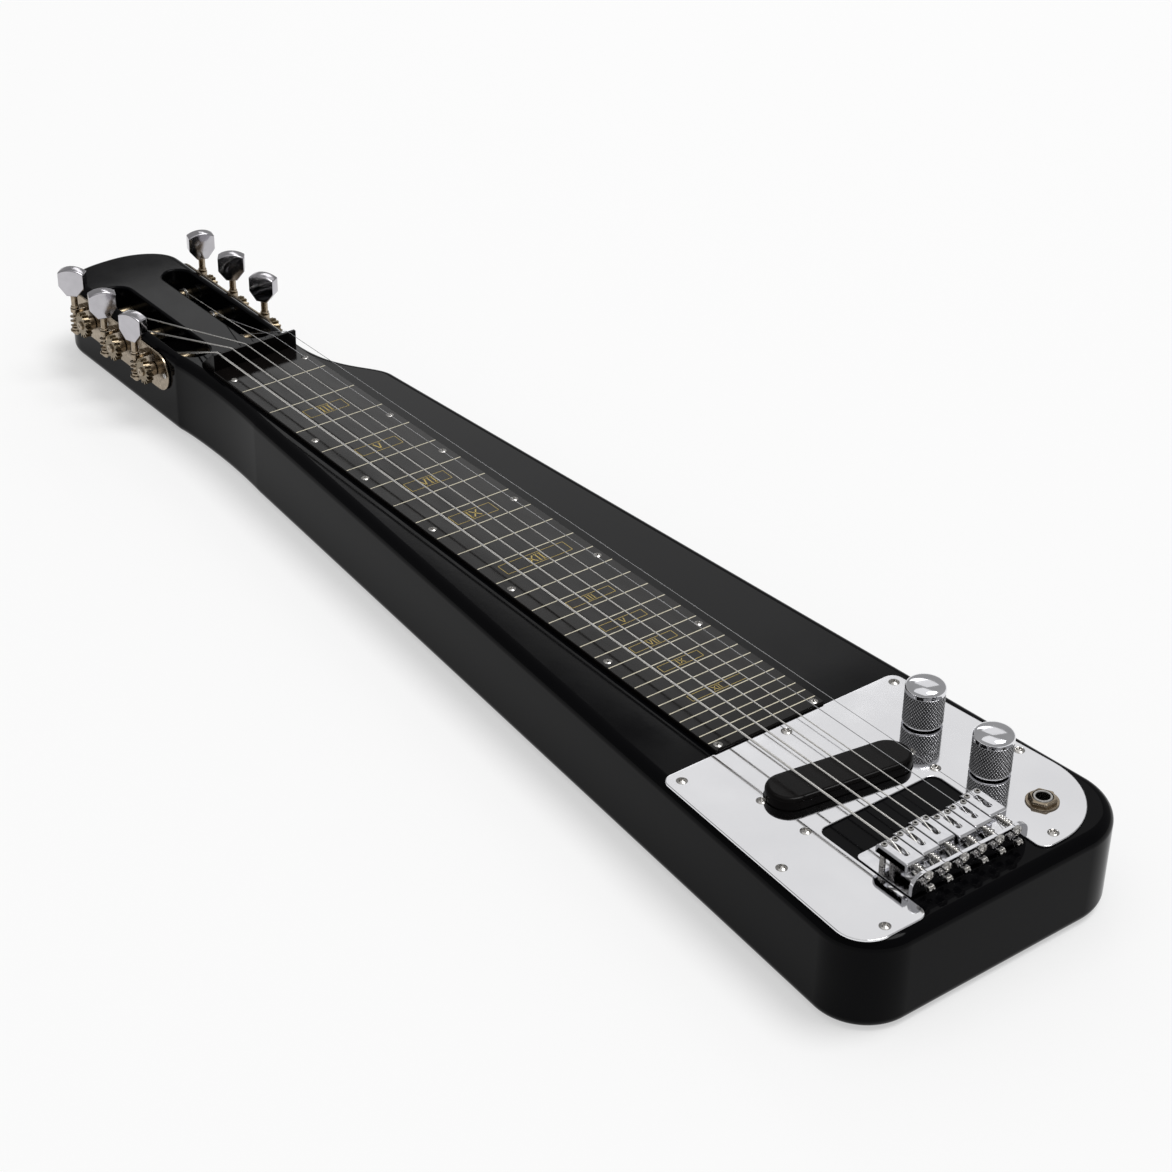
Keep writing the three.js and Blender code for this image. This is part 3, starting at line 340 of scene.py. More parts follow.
# Rows of a slab whose upper and lower edges are quarter rounds of the given radii. With a cap, one more
# row drawn in by it keeps the flat top apart from the round.
def roundedRows(low, high, lowRound, highRound, steps=6, cap=0):
    turn = np.linspace(0, math.pi / 2, steps + 1)
    lower = np.stack([lowRound * (1 - np.sin(turn)), low + lowRound * (1 - np.cos(turn))], 1)
    upper = np.stack([highRound * (1 - np.cos(turn)), high - highRound * (1 - np.sin(turn))], 1)
    return np.concatenate([lower, upper] + ([[(highRound + cap, high)]] if cap else []))


# (x + r cos a, y + r sin a) from one angle to another
def arc(centre, radius, start, finish, steps=16):
    angle = np.linspace(start, finish, steps + 1)
    return np.stack([centre[0] + radius * np.cos(angle), centre[1] + radius * np.sin(angle)], 1)


# Bezier curve of any order from its control points, without its last point
def bezier(controls, steps=24):
    controls = np.asarray(controls, float)
    order = len(controls) - 1
    t = np.linspace(0, 1, steps, endpoint=False)[:, None]
    weights = [math.comb(order, k) * t ** k * (1 - t) ** (order - k) for k in range(order + 1)]
    return sum(weight * control for weight, control in zip(weights, controls))


# Closed outline through (x, y, radius) corners, each corner an arc that touches both its sides
def cornered(corners, steps=12):
    corners = np.asarray(corners, float)
    places, runs = corners[:, :2], []
    for before, here, after, radius in zip(np.roll(places, 1, 0), places, np.roll(places, -1, 0),
                                           corners[:, 2]):
        if radius <= 0:
            runs.append(here[None])
            continue
        back, on = unit(before - here), unit(after - here)
        half = math.acos(np.clip(back @ on, -1, 1)) / 2
        centre = here + unit(back + on) * radius / math.sin(half)
        start, finish = (here + way * radius / math.tan(half) - centre for way in (back, on))
        first = math.atan2(start[1], start[0])
        sweep = (math.atan2(finish[1], finish[0]) - first + math.pi) % fullTurn - math.pi
        runs.append(arc(centre, radius, first, first + sweep, steps))
    return np.concatenate(runs)


def roundedBox(lowX, highX, lowY, highY, radius, steps=12):
    return cornered([(lowX, lowY, radius), (highX, lowY, radius), (highX, highY, radius),
                     (lowX, highY, radius)], steps)


# Two half circles joined by straight sides
def stadium(length, width, steps=20):
    radius = width / 2
    straight = length / 2 - radius
    return np.concatenate([arc((straight, 0), radius, -math.pi / 2, math.pi / 2, steps),
                           arc((-straight, 0), radius, math.pi / 2, 1.5 * math.pi, steps)])


def moved(part, x, y, z=0, axis="z"):  # made along +Z, laid along an axis and moved
    points, faces = part
    order = {"x": [2, 0, 1], "y": [1, 2, 0], "z": [0, 1, 2]}[axis]
    return points[:, order] + (x, y, z), faces


def stoodUp(part):  # drawn flat, stood up so that its y becomes height
    points, faces = part
    return points[:, [0, 2, 1]] * (1, -1, 1), faces


def spun(part, angle):  # turned about +Z
    points, faces = part
    c, s = math.cos(angle), math.sin(angle)
    return np.stack([points[:, 0] * c - points[:, 1] * s, points[:, 0] * s + points[:, 1] * c,
                     points[:, 2]], 1), faces


# A round section carried along a route: p + r (n cos a + b sin a), shut by a point at each end
def carried(route, radius, sides=10, upright=(0, 1, 0)):
    along = unit(np.gradient(route, axis=0))
    across = unit(upright - (along @ upright)[:, None] * along)
    other = np.cross(along, across)
    angle = anglesRound(sides)
    ring = across[:, None] * np.cos(angle)[:, None] + other[:, None] * np.sin(angle)[:, None]
    points = route[:, None] + radius * ring
    points = np.concatenate([np.repeat(route[:1, None], sides, 1), points,
                             np.repeat(route[-1:, None], sides, 1)])
    length = np.cumsum(np.linalg.norm(np.diff(route, axis=0), axis=1))
    length = np.concatenate([[0, 0], length, length[-1:]])
    along = np.stack(np.broadcast_arrays(length[:, None], angle / fullTurn), -1).reshape(-1, 2)
    return points.reshape(-1, 3), [gridFaces(len(points), sides)], along


# A route with each inner corner rounded by a small curve that starts and ends reach away from it
def softened(corners, reach, steps=6):
    corners = np.asarray(corners, float)
    runs = [corners[:1]]
    for before, here, after in zip(corners, corners[1:], corners[2:]):
        start, finish = here + unit(before - here) * reach, here + unit(after - here) * reach
        runs += [bezier([start, here, finish], steps), finish[None]]
    runs.append(corners[-1:])
    return np.concatenate(runs)


# Flat bars from starts to ends, of one width, as closed boxes between two heights
def bars(starts, ends, width, low, high):
    side = unit(ends - starts)[:, ::-1] * (-1, 1) * width / 2
    ring = np.stack([starts - side, ends - side, ends + side, starts + side], 1)
    levels = [np.concatenate([ring, np.full(ring.shape[:2] + (1,), z)], -1) for z in (low, high)]
    points = np.concatenate(levels, 1).reshape(-1, 3)
    box = np.array([[3, 2, 1, 0], [4, 5, 6, 7], [0, 1, 5, 4], [1, 2, 6, 5], [2, 3, 7, 6], [3, 0, 4, 7]])
    return points, [(np.arange(len(starts))[:, None, None] * 8 + box).reshape(-1, 4)]


# Screw head: height over a disc is dome (1 - r r), less a cross recess deep, with arms of a reach and a
# width. Its rim goes seat down.
def screwHead(radius, dome, seat, recess, arm, width, sectors=48, rings=14):
    share = np.linspace(0, 1, rings)[:, None] ** 0.9  # rings a little closer at the rim
    top = polar(radius * share, anglesRound(sectors), 0)
    reach = abs(top[..., :2])
    inner, outer = reach.min(-1), reach.max(-1)
    soft = 0.18 * width + 0.12  # how far the recess's walls slope
    cross = np.clip((width / 2 - inner) / soft + 0.5, 0, 1) * np.clip((arm - outer) / soft, 0, 1)
    top[..., 2] = dome * (1 - share ** 2) - recess * cross * (1 - 0.35 * outer / arm)
    rim = top[-1:] * (1, 1, 0) - (0, 0, seat)
    points = np.concatenate([top, rim, rim * (0, 0, 1)])
    return points.reshape(-1, 3), [gridFaces(len(points), sectors)]


def screwHeads(screw, places, level):  # heads at (x, y, turn) places
    return joined([moved(spun(screwHead(*screw), turn), x, y, level) for x, y, turn in places])


# Cuts each cutter, given as points and faces, out of a piece
def cutFrom(piece, cutters, sharp=35):
    tools = []
    for number, (points, faces) in enumerate(cutters):
        tool = makePiece(f"cutter_{number}", points, faces, lacquer, "steel")
        tools.append(tool)
        change = piece.modifiers.new(f"cut_{number}", "BOOLEAN")
        change.operation, change.solver, change.object = "DIFFERENCE", "EXACT", tool
    result = bpy.data.meshes.new_from_object(piece.evaluated_get(bpy.context.evaluated_depsgraph_get()))
    piece.modifiers.clear()
    old = piece.data
    result.materials.clear()
    result.materials.append(old.materials[0])
    piece.data = result
    bpy.data.meshes.remove(old)
    for tool in tools:
        bpy.data.objects.remove(tool)
    smoothed(result, sharp)
    weighted = piece.modifiers.new("even", "WEIGHTED_NORMAL")  # large faces keep their own flat normal
    weighted.keep_sharp, weighted.weight = True, 90


# A copy of a CAD node, merged and freed of its flat triangles, with every hard edge bevelled
def bevelledCopy(name, node, finish, width, sharp=28):
    mesh = nodes[node].data.copy()
    mesh.name = name
    mesh.materials.clear()
    tidyMesh(mesh, sharp, 0.001, 0.5)
    edge = placePiece(name, mesh, finish, "guitar", (node,)).modifiers.new("edge", "BEVEL")
    edge.width, edge.segments, edge.limit_method = width * mm, 2, "ANGLE"
    edge.angle_limit = math.radians(sharp)
    edge.harden_normals = edge.use_clamp_overlap = True


bodySettings = {
    "thickness": 50, "edge": 6, "tailX": 615.5,
    "bassShoulder": (61, -38.7), "bassTail": -79.9, "bassRadius": 28,
    "trebleShoulder": (60, 60.2), "trebleTail": 99.5, "trebleRadius": 34,
    "waistX": 8, "waistHalf": 35.6, "shoulderPull": 18, "waistPull": 44,
    "headHalf": 37.5, "headNearX": -32, "headFarX": -177.5, "cornerX": -152, "blend": 12, "inside": 0.08,
    "cornerReach": (18, 14), "endReach": (28, 21),
    "slotInner": 12, "slotOuter": 30.6, "slotNearX": -26, "slotFarX": -137, "slotEdge": 1.6,
    "capInset": 0.4, "recess": (94, 29.4, 14), "cavity": (488.1, 594.4, 45, 77.9, 3.5), "cavityDepth": 40,
    "boreInner": 5.7, "boreOuter": 41,
}


# Straight tapering sides, a shoulder on the treble side only, a waist at the nut and a long head whose
# far end is two cubic curves that meet on the centre line
def bodyOutline(s):
    wx, wh, hh, cornerX, endX = s["waistX"], s["waistHalf"], s["headHalf"], s["cornerX"], s["headFarX"]
    bx, by = s["bassShoulder"]
    tx, ty = s["trebleShoulder"]
    (bassReach, trebleReach), (bassEnd, trebleEnd) = s["cornerReach"], s["endReach"]
    tail = cornered([(bx, by, 0), (s["tailX"], s["bassTail"], s["bassRadius"]),
                     (s["tailX"], s["trebleTail"], s["trebleRadius"]), (tx, ty, 0)], 28)
    return np.concatenate([
        bezier([(wx, -wh), ((wx + bx) / 2, -wh), (bx, by)]),
        tail[:-1],
        bezier([(tx, ty), (tx - s["shoulderPull"], ty), (s["waistPull"] - wx, wh), (-wx, wh)], 36),
        bezier([(-wx, wh), (s["headNearX"] + s["blend"], wh), (s["headNearX"], hh)], 10),
        [(s["headNearX"], hh)],
        bezier([(cornerX, hh), (cornerX - trebleReach, hh), (endX, trebleEnd), (endX, 0)], 32),
        bezier([(endX, 0), (endX, -bassEnd), (cornerX - bassReach, -hh), (cornerX, -hh)], 32),
        [(cornerX, -hh)],
        bezier([(s["headNearX"], -hh), (s["headNearX"] + s["blend"], -wh), (wx, -wh)], 12),
    ])


# Body: its outline stacked with quarter-round edges, less the slots, the recess, the cavity and the bores
def makeBody(s):
    top, edge, cap, flare = s["thickness"], s["edge"], s["capInset"], s["slotEdge"]
    rows = [(edge + cap, 0), *roundedRows(0, top, edge, edge, 10, cap)]
    points, faces = stacked(bodyOutline(s), np.array(rows) + (s["inside"], 0))
    piece = makePiece("body_shell", points, faces, lacquer, "lacquered_wood", stands=("body",))
    # Each slot flares out at its rims, so that the lacquered edge is soft
    slotRows = [(-flare, -overrun), *roundedRows(0, top, flare, flare) * (-1, 1), (-flare, top + overrun)]
    slot = stacked(stadium(s["slotNearX"] - s["slotFarX"], s["slotOuter"] - s["slotInner"]), slotRows)
    slotX, slotY = (s["slotNearX"] + s["slotFarX"]) / 2, (s["slotInner"] + s["slotOuter"]) / 2
    length, width, depth = s["recess"]
    recess = stacked(stadium(length, width), [(0, top - depth), (0, top + overrun)])
    cavity = stacked(roundedBox(*s["cavity"]), [(0, top - s["cavityDepth"]), (0, top + overrun)])
    bore = rod(tunerSettings["postRadius"] + fit, s["boreInner"], s["boreOuter"], 32)
    cutFrom(piece, [moved(slot, slotX, -slotY), moved(slot, slotX, slotY), underStrings(recess),
                    cavity, *(acrossHead(bore, number) for number in range(6))])


# Numbers 0, 1 and 2 are the treble side's near, middle and far posts, 5, 4 and 3 the bass side's
def sideOf(number):
    return 1 if number < 3 else -1


def orderOf(number):
    return min(number, 5 - number)


tunerSettings = {
    "middleX": -91.2, "pitch": 37.5, "rise": 35, "centreDistance": 10, "axisY": 45.6, "faceY": 39.1,
    "postRadius": 3.5, "postInner": 6, "neckRadius": 2.2,
    "teeth": 15, "gearRadius": 7.2, "gearTip": 8, "gearRoot": 6.1, "gearWidth": 4, "hubRadius": 4.4,
    "capRadius": 2.8, "capHeight": 1.4,
    "wormRadius": 2.8, "wormTip": 3.6, "wormTurns": 2.5, "shaftRadius": 1.7,
    "earGap": 10.4, "earThick": 2.6, "footRadius": 3.9, "footHeight": 1.1,
    "collarRadius": 2.6, "collarHeight": 1.3, "stemRadius": 2.1,
    "buttonLow": 52, "buttonHeight": 17.9, "buttonWidth": 16.5, "buttonThick": 7.4, "buttonNeck": 7,
    "buttonShoulder": 6.2, "buttonCrown": 2.6,
    "keyAngles": [0.55, 0.95, 1.3, 0.75, 1.2, 0.35],
    "buttonRounds": (0.4, 1.6, 0.9, 15), "buttonEdge": 0.7, "peakDrop": 0.3, "stemRise": 3, "keyEdge": 0.25,
    "wormFade": 0.2, "threadRoot": 0.23, "threadFlank": 0.13, "wormRunout": 0.25, "wormRows": 66,
    "toothTurns": (-0.26, -0.2, -0.12, 0.12, 0.2, 0.26, 0.4, 0.6), "rimEdge": 0.3, "footEdges": (0.2, 0.3),
    "valleyDrop": 0.1, "capEdge": (0.5, 0.1), "capDip": (0.6, 0.9, 0.7), "postEdge": 0.4,
    "screw": (1.9, 0.8, 0.02, 0.8, 1.25, 0.65, 40, 12), "screwGap": 0.03,
    "screws": [(12.5, 0), (-19.5, 6.5), (-19.5, -6.5), (-57, 6.5), (-57, -6.5), (-96.5, 0)],
}


def postX(number):
    return tunerSettings["middleX"] + (1 - orderOf(number)) * tunerSettings["pitch"]


def keyX(number):
    return postX(number) - tunerSettings["centreDistance"]


def acrossHead(part, number):  # made outwards along +Z, laid out from the middle on a post's axis
    points, faces = moved(part, postX(number), 0, tunerSettings["rise"], "y")
    points[:, 1] *= sideOf(number)
    return points, faces


pickupSettings = {
    "centre": (514.5, -1.5), "angle": 0.151, "length": 78, "width": 22.4, "low": 46, "top": 57.5,
    "edge": 2.2, "footEdge": 0.1, "capInset": 0.2, "wall": 1.2, "steps": 28,
}


def underStrings(part):  # made along X at the origin, laid slanted on the pickup's centre
    return moved(spun(part, math.pi / 2 - pickupSettings["angle"]), *pickupSettings["centre"])


makeBody(bodySettings)
print("body made")


boardSettings = {
    "low": 50, "top": 52.5, "startX": 0.3, "endX": 464.7, "halfStart": 28.6, "halfEnd": 34.3,
    "corner": 0.6, "edge": 0.35, "footEdge": 0.1, "capInset": 0.1,
    "scale": 572, "frets": 28, "lineHalf": (27.95, 33.58), "lineWidth": 0.62, "ink": 0.04,
    "frameLine": 0.34, "numeralShare": 0.66, "strokeShare": 0.085,
    "letterWidths": {"I": 0.42, "V": 0.86, "X": 0.9}, "letterGap": 0.08, "serif": (0.06, 0.14),
    "markers": [("III", 76.7, 9.4, 13), ("V", 130.8, 8.8, 13.6), ("VII", 178.9, 9.2, 13.2),
                ("IX", 221.8, 9.4, 13.4), ("XII", 277.5, 9.2, 21), ("III", 324.4, 6.2, 14),
                ("V", 351.4, 5.8, 13.5), ("VII", 375.5, 5.8, 13.5), ("IX", 396.9, 5.6, 12.7),
                ("XII", 424.8, 5.0, 17)],  # numeral, place, height and half length of its frame
    "screw": (2.3, 0.75, 0.05, 0.9, 1.35, 0.75, 40, 12), "screwGap": 0.05,
    "screwXs": [16.4, 104.5, 156.0, 222.1, 294.3, 375.9, 461.5],
    "screwYs": [24.4, 25.3, 25.9, 26.9, 27.9, 29.05, 30.15],
}


# Strokes of a numeral, in units of its height, with bars across each upright's ends
def numeralStrokes(s, text):
    start = -sum(s["letterWidths"][letter] for letter in text) / 2
    outer, inner = s["serif"]
    strokes = []
    for letter in text:
        low, high = start + s["letterGap"], start + s["letterWidths"][letter] - s["letterGap"]
        middle = (low + high) / 2
        strokes += {
            "I": [(middle, -0.5, middle, 0.5), (low, -0.5, high, -0.5), (low, 0.5, high, 0.5)],
            "V": [(low, 0.5, middle, -0.5), (middle, -0.5, high, 0.5),
                  (low - outer, 0.5, low + inner, 0.5), (high - inner, 0.5, high + outer, 0.5)],
            "X": [(low, 0.5, high, -0.5), (low, -0.5, high, 0.5)]}[letter]
        start += s["letterWidths"][letter]
    return np.array(strokes).reshape(-1, 2, 2)


# Board and its print: fret n lies at scale (1 - 2^(-n / 12)), and each marker is a numeral in a frame
def makeBoard(s):
    start, end, corner = s["startX"], s["endX"], s["corner"]
    outline = cornered([(start, -s["halfStart"], corner), (end, -s["halfEnd"], corner),
                        (end, s["halfEnd"], corner), (start, s["halfStart"], corner)], 4)
    rows = roundedRows(s["low"], s["top"], s["footEdge"], s["edge"], 3, s["capInset"])
    makePiece("board_sheet", *stacked(outline, rows), boardSheet, "board", stands=("fretboard",))
    ink = s["top"], s["top"] + s["ink"]
    number = np.arange(1, s["frets"] + 1)
    x = s["scale"] * (1 - 2 ** (-number / 12))
    half = np.interp(x, (0, x[-1]), s["lineHalf"])
    lines = bars(np.stack([x, -half], 1), np.stack([x, half], 1), s["lineWidth"], *ink)
    makePiece("fret_lines", *lines, fretInk, "board")
    frames, letters = [], []
    for text, middleX, height, halfLength in s["markers"]:
        lowX, highX = middleX - height / 2, middleX + height / 2
        ring = np.array([(lowX, -halfLength), (highX, -halfLength), (highX, halfLength),
                         (lowX, halfLength)])
        frames.append(bars(ring, np.roll(ring, -1, 0), s["frameLine"], *ink))
        strokes = numeralStrokes(s, text) * height * s["numeralShare"]
        ends = np.stack([middleX - strokes[..., 1], strokes[..., 0]], -1)
        letters.append(bars(ends[:, 0], ends[:, 1], s["strokeShare"] * height, *ink))
    makePiece("marker_frames", *joined(frames), markerInk, "board")
    makePiece("marker_numerals", *joined(letters), markerInk, "board")
    places = [(x, side * y, 0.9 * number + 0.4 * side)
              for number, (x, y) in enumerate(zip(s["screwXs"], s["screwYs"])) for side in (-1, 1)]
    heads = screwHeads(s["screw"], places, s["top"] + s["screwGap"])
    makePiece("board_screws", *heads, screwSteel, "steel")


makeBoard(boardSettings)
bevelledCopy("nut_wedge", "nut", blackPlastic, 0.3)
print("board made")


plateSettings = {
    "low": 50, "top": 51, "edge": 0.35, "footEdge": 0.1, "capInset": 0.15, "window": (79, 23.4, 28),
    "corners": [(465, -67.8, 6), (610.4, -76.4, 16), (610.4, -35.2, 6), (537.3, -35.2, 5),
                (537.3, 37.6, 5), (608, 37.6, 6), (608, 93.9, 40), (465, 79.9, 6)],
    "holes": [(503.6, 62.4, 4.7), (551, 60.5, 4.7), (582.4, 62.9, 5.05)],
    "screw": (2.8, 1.05, 0.02, 1.7, 1.85, 1.05), "screwGap": 0.05,
    "screws": [(472, -60.8), (471.1, 4.5), (471.2, 74.5), (505.5, -40.9), (517.9, 40.7), (534.5, -39.8),
               (534.5, 41.2), (547.9, -66.1), (547.8, 83.2), (604.5, -56.6), (601.9, 49.9)],
}


# Plate: its outline stacked one sheet thick, less the pickup's slanted window and three round holes
def makePlate(s):
    rows = roundedRows(s["low"], s["top"], s["footEdge"], s["edge"], 4, s["capInset"])
    piece = makePiece("plate_sheet", *stacked(cornered(s["corners"], 16), rows), chromeSheet, "chrome",
                      stands=("control_plate",))
    low, high = s["low"] - overrun, s["top"] + overrun
    window = underStrings(stacked(stadium(*s["window"]), [(0, low), (0, high)]))
    holes = [moved(rod(radius, low, high, 40), x, y) for x, y, radius in s["holes"]]
    cutFrom(piece, [window, *holes])
    places = [(x, y, 0.7 * number + 0.3) for number, (x, y) in enumerate(s["screws"])]
    heads = screwHeads(s["screw"], places, s["top"] + s["screwGap"])
    makePiece("plate_screws", *heads, screwSteel, "steel")


# Cover: one round-ended stack for the outside and one drawn in by the wall for the inside, open below
def makePickup(s):
    low, top, wall, footEdge = s["low"], s["top"], s["wall"], s["footEdge"]
    outside = roundedRows(low, top, footEdge, s["edge"], 8, s["capInset"])
    inside = [(footEdge, low), (wall, low), (wall, top - wall)]
    parts = []
    for rows in (outside, inside):
        points, (sides, _, cap) = stacked(stadium(s["length"], s["width"], s["steps"]), rows)
        parts.append(underStrings((points, [sides, cap])))
    makePiece("pickup_shell", *joined(parts), blackPlastic, "black_plastic", stands=("pickup_cover",))


knobSettings = {
    "centres": [("volume", 503.6, 62.4), ("tone", 551, 60.5)],
    "low": 52, "top": 74.4, "radius": 10, "dome": 3.4, "knurlLow": 52.7, "knurlHigh": 69.4,
    # The power on the next line after the crest sets how steeply the painted shade in the knurl's grooves
    # falls from the ridges
    "around": 40, "diamond": 1.05, "depth": 0.42, "crest": 0.8, "grooveShade": 2.4, "fade": 0.5,
    "columns": 320, "rows": 96, "crownDrop": 1.1, "crownFlat": 0.66,
    "recess": 7.6, "recessRise": 5, "spindle": 3, "spindleLow": 45.4,
    "footEdge": (0.45, 0.1, 0.3),
}


# Knob side: radius R less depth (1 - p), where p is the lower of two slanted ridge waves that cross.
# Its crown is one cubic curve from the side in to the middle.
def makeKnob(s, name, x, y):
    columns, rows = s["columns"], s["rows"]
    angle = anglesRound(columns)
    height = np.linspace(s["knurlLow"], s["knurlHigh"], rows)[:, None]
    around, rise = angle / fullTurn * s["around"], (height - s["knurlLow"]) / s["diamond"]
    ridges = [1 - abs(2 * ((around + lean * rise) % 1) - 1) for lean in (-0.5, 0.5)]
    pattern = np.minimum(ridges[0], ridges[1]) ** s["crest"]
    fade = np.clip(np.minimum(height - s["knurlLow"], s["knurlHigh"] - height) / s["fade"], 0, 1)
    side = polar(s["radius"] - s["depth"] * (1 - pattern) * fade, angle, height)
    knurl = (side.reshape(-1, 3), [gridFaces(rows, columns)])
    # Painted shade: this level is 1 on the ridges and drops in the grooves, and the knurl finish darkens
    # its colour with it
    level = (1 - (1 - pattern ** s["grooveShade"]) * fade).ravel()
    r, low, top = s["radius"], s["low"], s["top"]
    crown = bezier([(r, top - s["dome"]), (r, top - s["crownDrop"]), (s["crownFlat"] * r, top), (0, top)])
    cap = turned([(r, s["knurlHigh"]), *crown, (0, top)], columns)
    hollow, stem, stemLow, roof = s["recess"], s["spindle"], s["spindleLow"], low + s["recessRise"]
    foot, waist, rise = s["footEdge"]
    under = turned([(0, stemLow), (stem, stemLow), (stem, roof), (hollow, roof), (hollow, low),
                    (r - foot, low), (r - waist, low + rise), (r, s["knurlLow"])], columns)
    body = f"knob_{name}"
    makePiece(f"knob_grip_{name}", *moved(knurl, x, y), chromeKnurl, "chrome", body, (body,),
              np.stack([level, level], 1), 80)
    makePiece(f"knob_crown_{name}", *moved(joined([cap, under]), x, y), chromePart, "chrome", body)


jackSettings = {
    "centre": (582.4, 62.9), "bore": 3.4, "barrel": 4.75, "top": 54.2, "canTop": 49.7,
    "canRadius": 8.5, "low": 35.7, "rimEdge": 0.35, "boreEdge": 0.25,
    "washer": (8, 51, 51.8, 0.2, 0.2), "nut": 7, "nutRound": 6.9, "nutLow": 51.85, "nutTop": 54,
    "nutEdge": ((0.9, 0), (0.45, 0.12), (0, 0.75)),
}


# Barrel and washer turned, and a nut of radius flat / cos a, a measured from the middle of each side,
# with its upper rim drawn in by (drop, cut) steps. A ring without a cut is its bore.
def makeJack(s):
    x, y = s["centre"]
    barrel, bore, top = s["barrel"], s["bore"], s["top"]
    tube = turned([(bore, s["low"]), (s["canRadius"], s["low"]), (s["canRadius"], s["canTop"]),
                   (barrel, s["canTop"]), (barrel, top - s["rimEdge"]), (barrel - s["rimEdge"], top),
                   (bore + s["boreEdge"], top), (bore, top - s["boreEdge"])], 48, closed=True)
    makePiece("jack_barrel", *moved(tube, x, y), screwSteel, "steel", stands=("jack_socket",))
    hole = barrel + fit
    washer = turned([(hole, s["washer"][1]), *chamfered(*s["washer"]), (hole, s["washer"][2])], 48,
                    closed=True)
    sectors, side = 96, math.pi / 3
    angle = anglesRound(sectors)
    flat = s["nut"] * math.cos(side / 2) / np.cos((angle + side / 2) % side - side / 2)
    steps = [(s["nutTop"] - drop, cut) for drop, cut in s["nutEdge"]]
    rings = [(s["nutLow"], None), (s["nutLow"], 0), *steps, (s["nutTop"], None)]
    points = [polar(hole if cut is None else np.minimum(flat, s["nutRound"]) - cut, angle, height)
              for height, cut in rings]
    nut = (np.concatenate(points), [gridFaces(len(rings), sectors, True)])
    makePiece("jack_ring", *moved(joined([washer, nut]), x, y), warmNickel, "chrome", stands=("jack_nut",))


makePlate(plateSettings)
makePickup(pickupSettings)
for knob in knobSettings["centres"]:
    makeKnob(knobSettings, *knob)
makeJack(jackSettings)
print("plate, pickup, knobs and jack made")


bridgeSettings = {
    "centreY": 1.2, "pitch": 10.9, "plateTop": 51.5, "lipFrontX": 595.7, "rearX": 597.7, "holeZ": 54.2,
    "saddleXs": [570, 572, 573, 570.5, 572.2, 573.6], "width": 10.3, "nose": 3.5, "tail": 17, "sheet": 1.8,
    "top": 63.1, "noseDrop": 5.2, "rearDrop": 4.7, "bend": 2.4, "kneeRound": 1.2, "stripEdge": 0.25,
    "sideEdge": 0.3, "slotStart": 1.6, "slotEnd": 12, "slotWidth": 3.2, "slotRound": 1.2, "cutPast": 1,
    "legRadius": 1.5, "legSpread": 3.3, "legProud": 0.5, "threadPitch": 0.7,
    "legThread": 0.18, "lengthThread": 0.16, "innerBend": (0.2, 0.3),
    "screwZ": 60.3, "screwRadius": 1.25, "screwReach": 3.6, "headLength": 2.4,
    "screw": (2.3, 0.7, 1.6, 1.0, 1.5, 0.7, 40, 12), "headDome": 0.75,
    "wire": 0.3, "curlPitch": 1.5, "curlSteps": 24, "ballRadius": 1.9, "ballLength": 3.4, "ballX": 600.2,
    "ballEdge": 0.3, "ballGroove": (0.7, 0.35, 0.55), "socket": (0.5, 0.55, 1.2), "legEdge": (0.25, 0.3),
}


def bridgeY(number):
    return bridgeSettings["centreY"] + (2.5 - number) * bridgeSettings["pitch"]


# Thread: radius R less depth (1 - cos(angle - 2 pi z / pitch)) / 2, fading out at both ends
def threadedRod(radius, low, high, pitch, depth, sectors=20):
    rows = max(int((high - low) / pitch * 8), 4)
    z, angle = np.linspace(low, high, rows)[:, None], anglesRound(sectors)
    fade = np.clip(np.minimum(z - low, high - z) / pitch, 0, 1)
    reach = radius - depth * (0.5 - 0.5 * np.cos(angle - fullTurn * z / pitch)) * fade
    return shutSkin(polar(reach, angle, z))


# Saddle: bent strip drawn in x and z, laid across, with its long slot and screw hole cut out
def makeSaddle(s, number):
    x, y, top = s["saddleXs"][number], bridgeY(number), s["top"]
    front, rear, t, bend, edge = x - s["nose"], x + s["tail"], s["sheet"], s["bend"], s["stripEdge"]
    noseEnd, rearEnd, (easing, knee) = top - s["noseDrop"], top - s["rearDrop"], s["innerBend"]
    strip = cornered([(front, noseEnd, edge), (front + t, noseEnd, edge),
                      (front + t, top - t, bend - t + easing), (rear - t, top - t, knee),
                      (rear - t, rearEnd, edge), (rear, rearEnd, edge), (rear, top, s["kneeRound"]),
                      (front, top, bend)], 8)
    half = s["width"] / 2
    bent = stoodUp(stacked(strip, roundedRows(-half, half, s["sideEdge"], s["sideEdge"], 3)))
    piece = makePiece(f"saddle_strip_{number + 1}", *moved(bent, 0, y), chromePart, "chrome",
                      stands=(f"saddle_{number + 1}",))
    slotHalf, past = s["slotWidth"] / 2, s["cutPast"]
    slot = roundedBox(x + s["slotStart"], x + s["slotEnd"], y - slotHalf, y + slotHalf, s["slotRound"], 6)
    hole = rod(s["screwRadius"] + fit, rear - t - past, rear + past, 24)
    cutFrom(piece, [stacked(slot, [(0, top - t - past), (0, top + past)]),
                    moved(hole, 0, y, s["screwZ"], "x")], 40)
    r, legTop, (edgeIn, edgeDown) = s["legRadius"], top + s["legProud"], s["legEdge"]
    floor, mouth, sink = s["socket"]  # shares of the radius and a depth
    leg = threadedRod(r, s["plateTop"] + fit, legTop - 0.5, s["threadPitch"], s["legThread"])
    cap = turned([(0, legTop - sink), (r * floor, legTop - sink), (r * mouth, legTop),
                  (r - edgeIn, legTop), (r, legTop - edgeDown), (r, legTop - 0.7), (0, legTop - 1.4)], 24)
    legs = [moved(part, x, y + side * s["legSpread"]) for side in (-1, 1) for part in (leg, cap)]
    makePiece(f"height_screws_{number + 1}", *joined(legs), screwSteel, "steel")


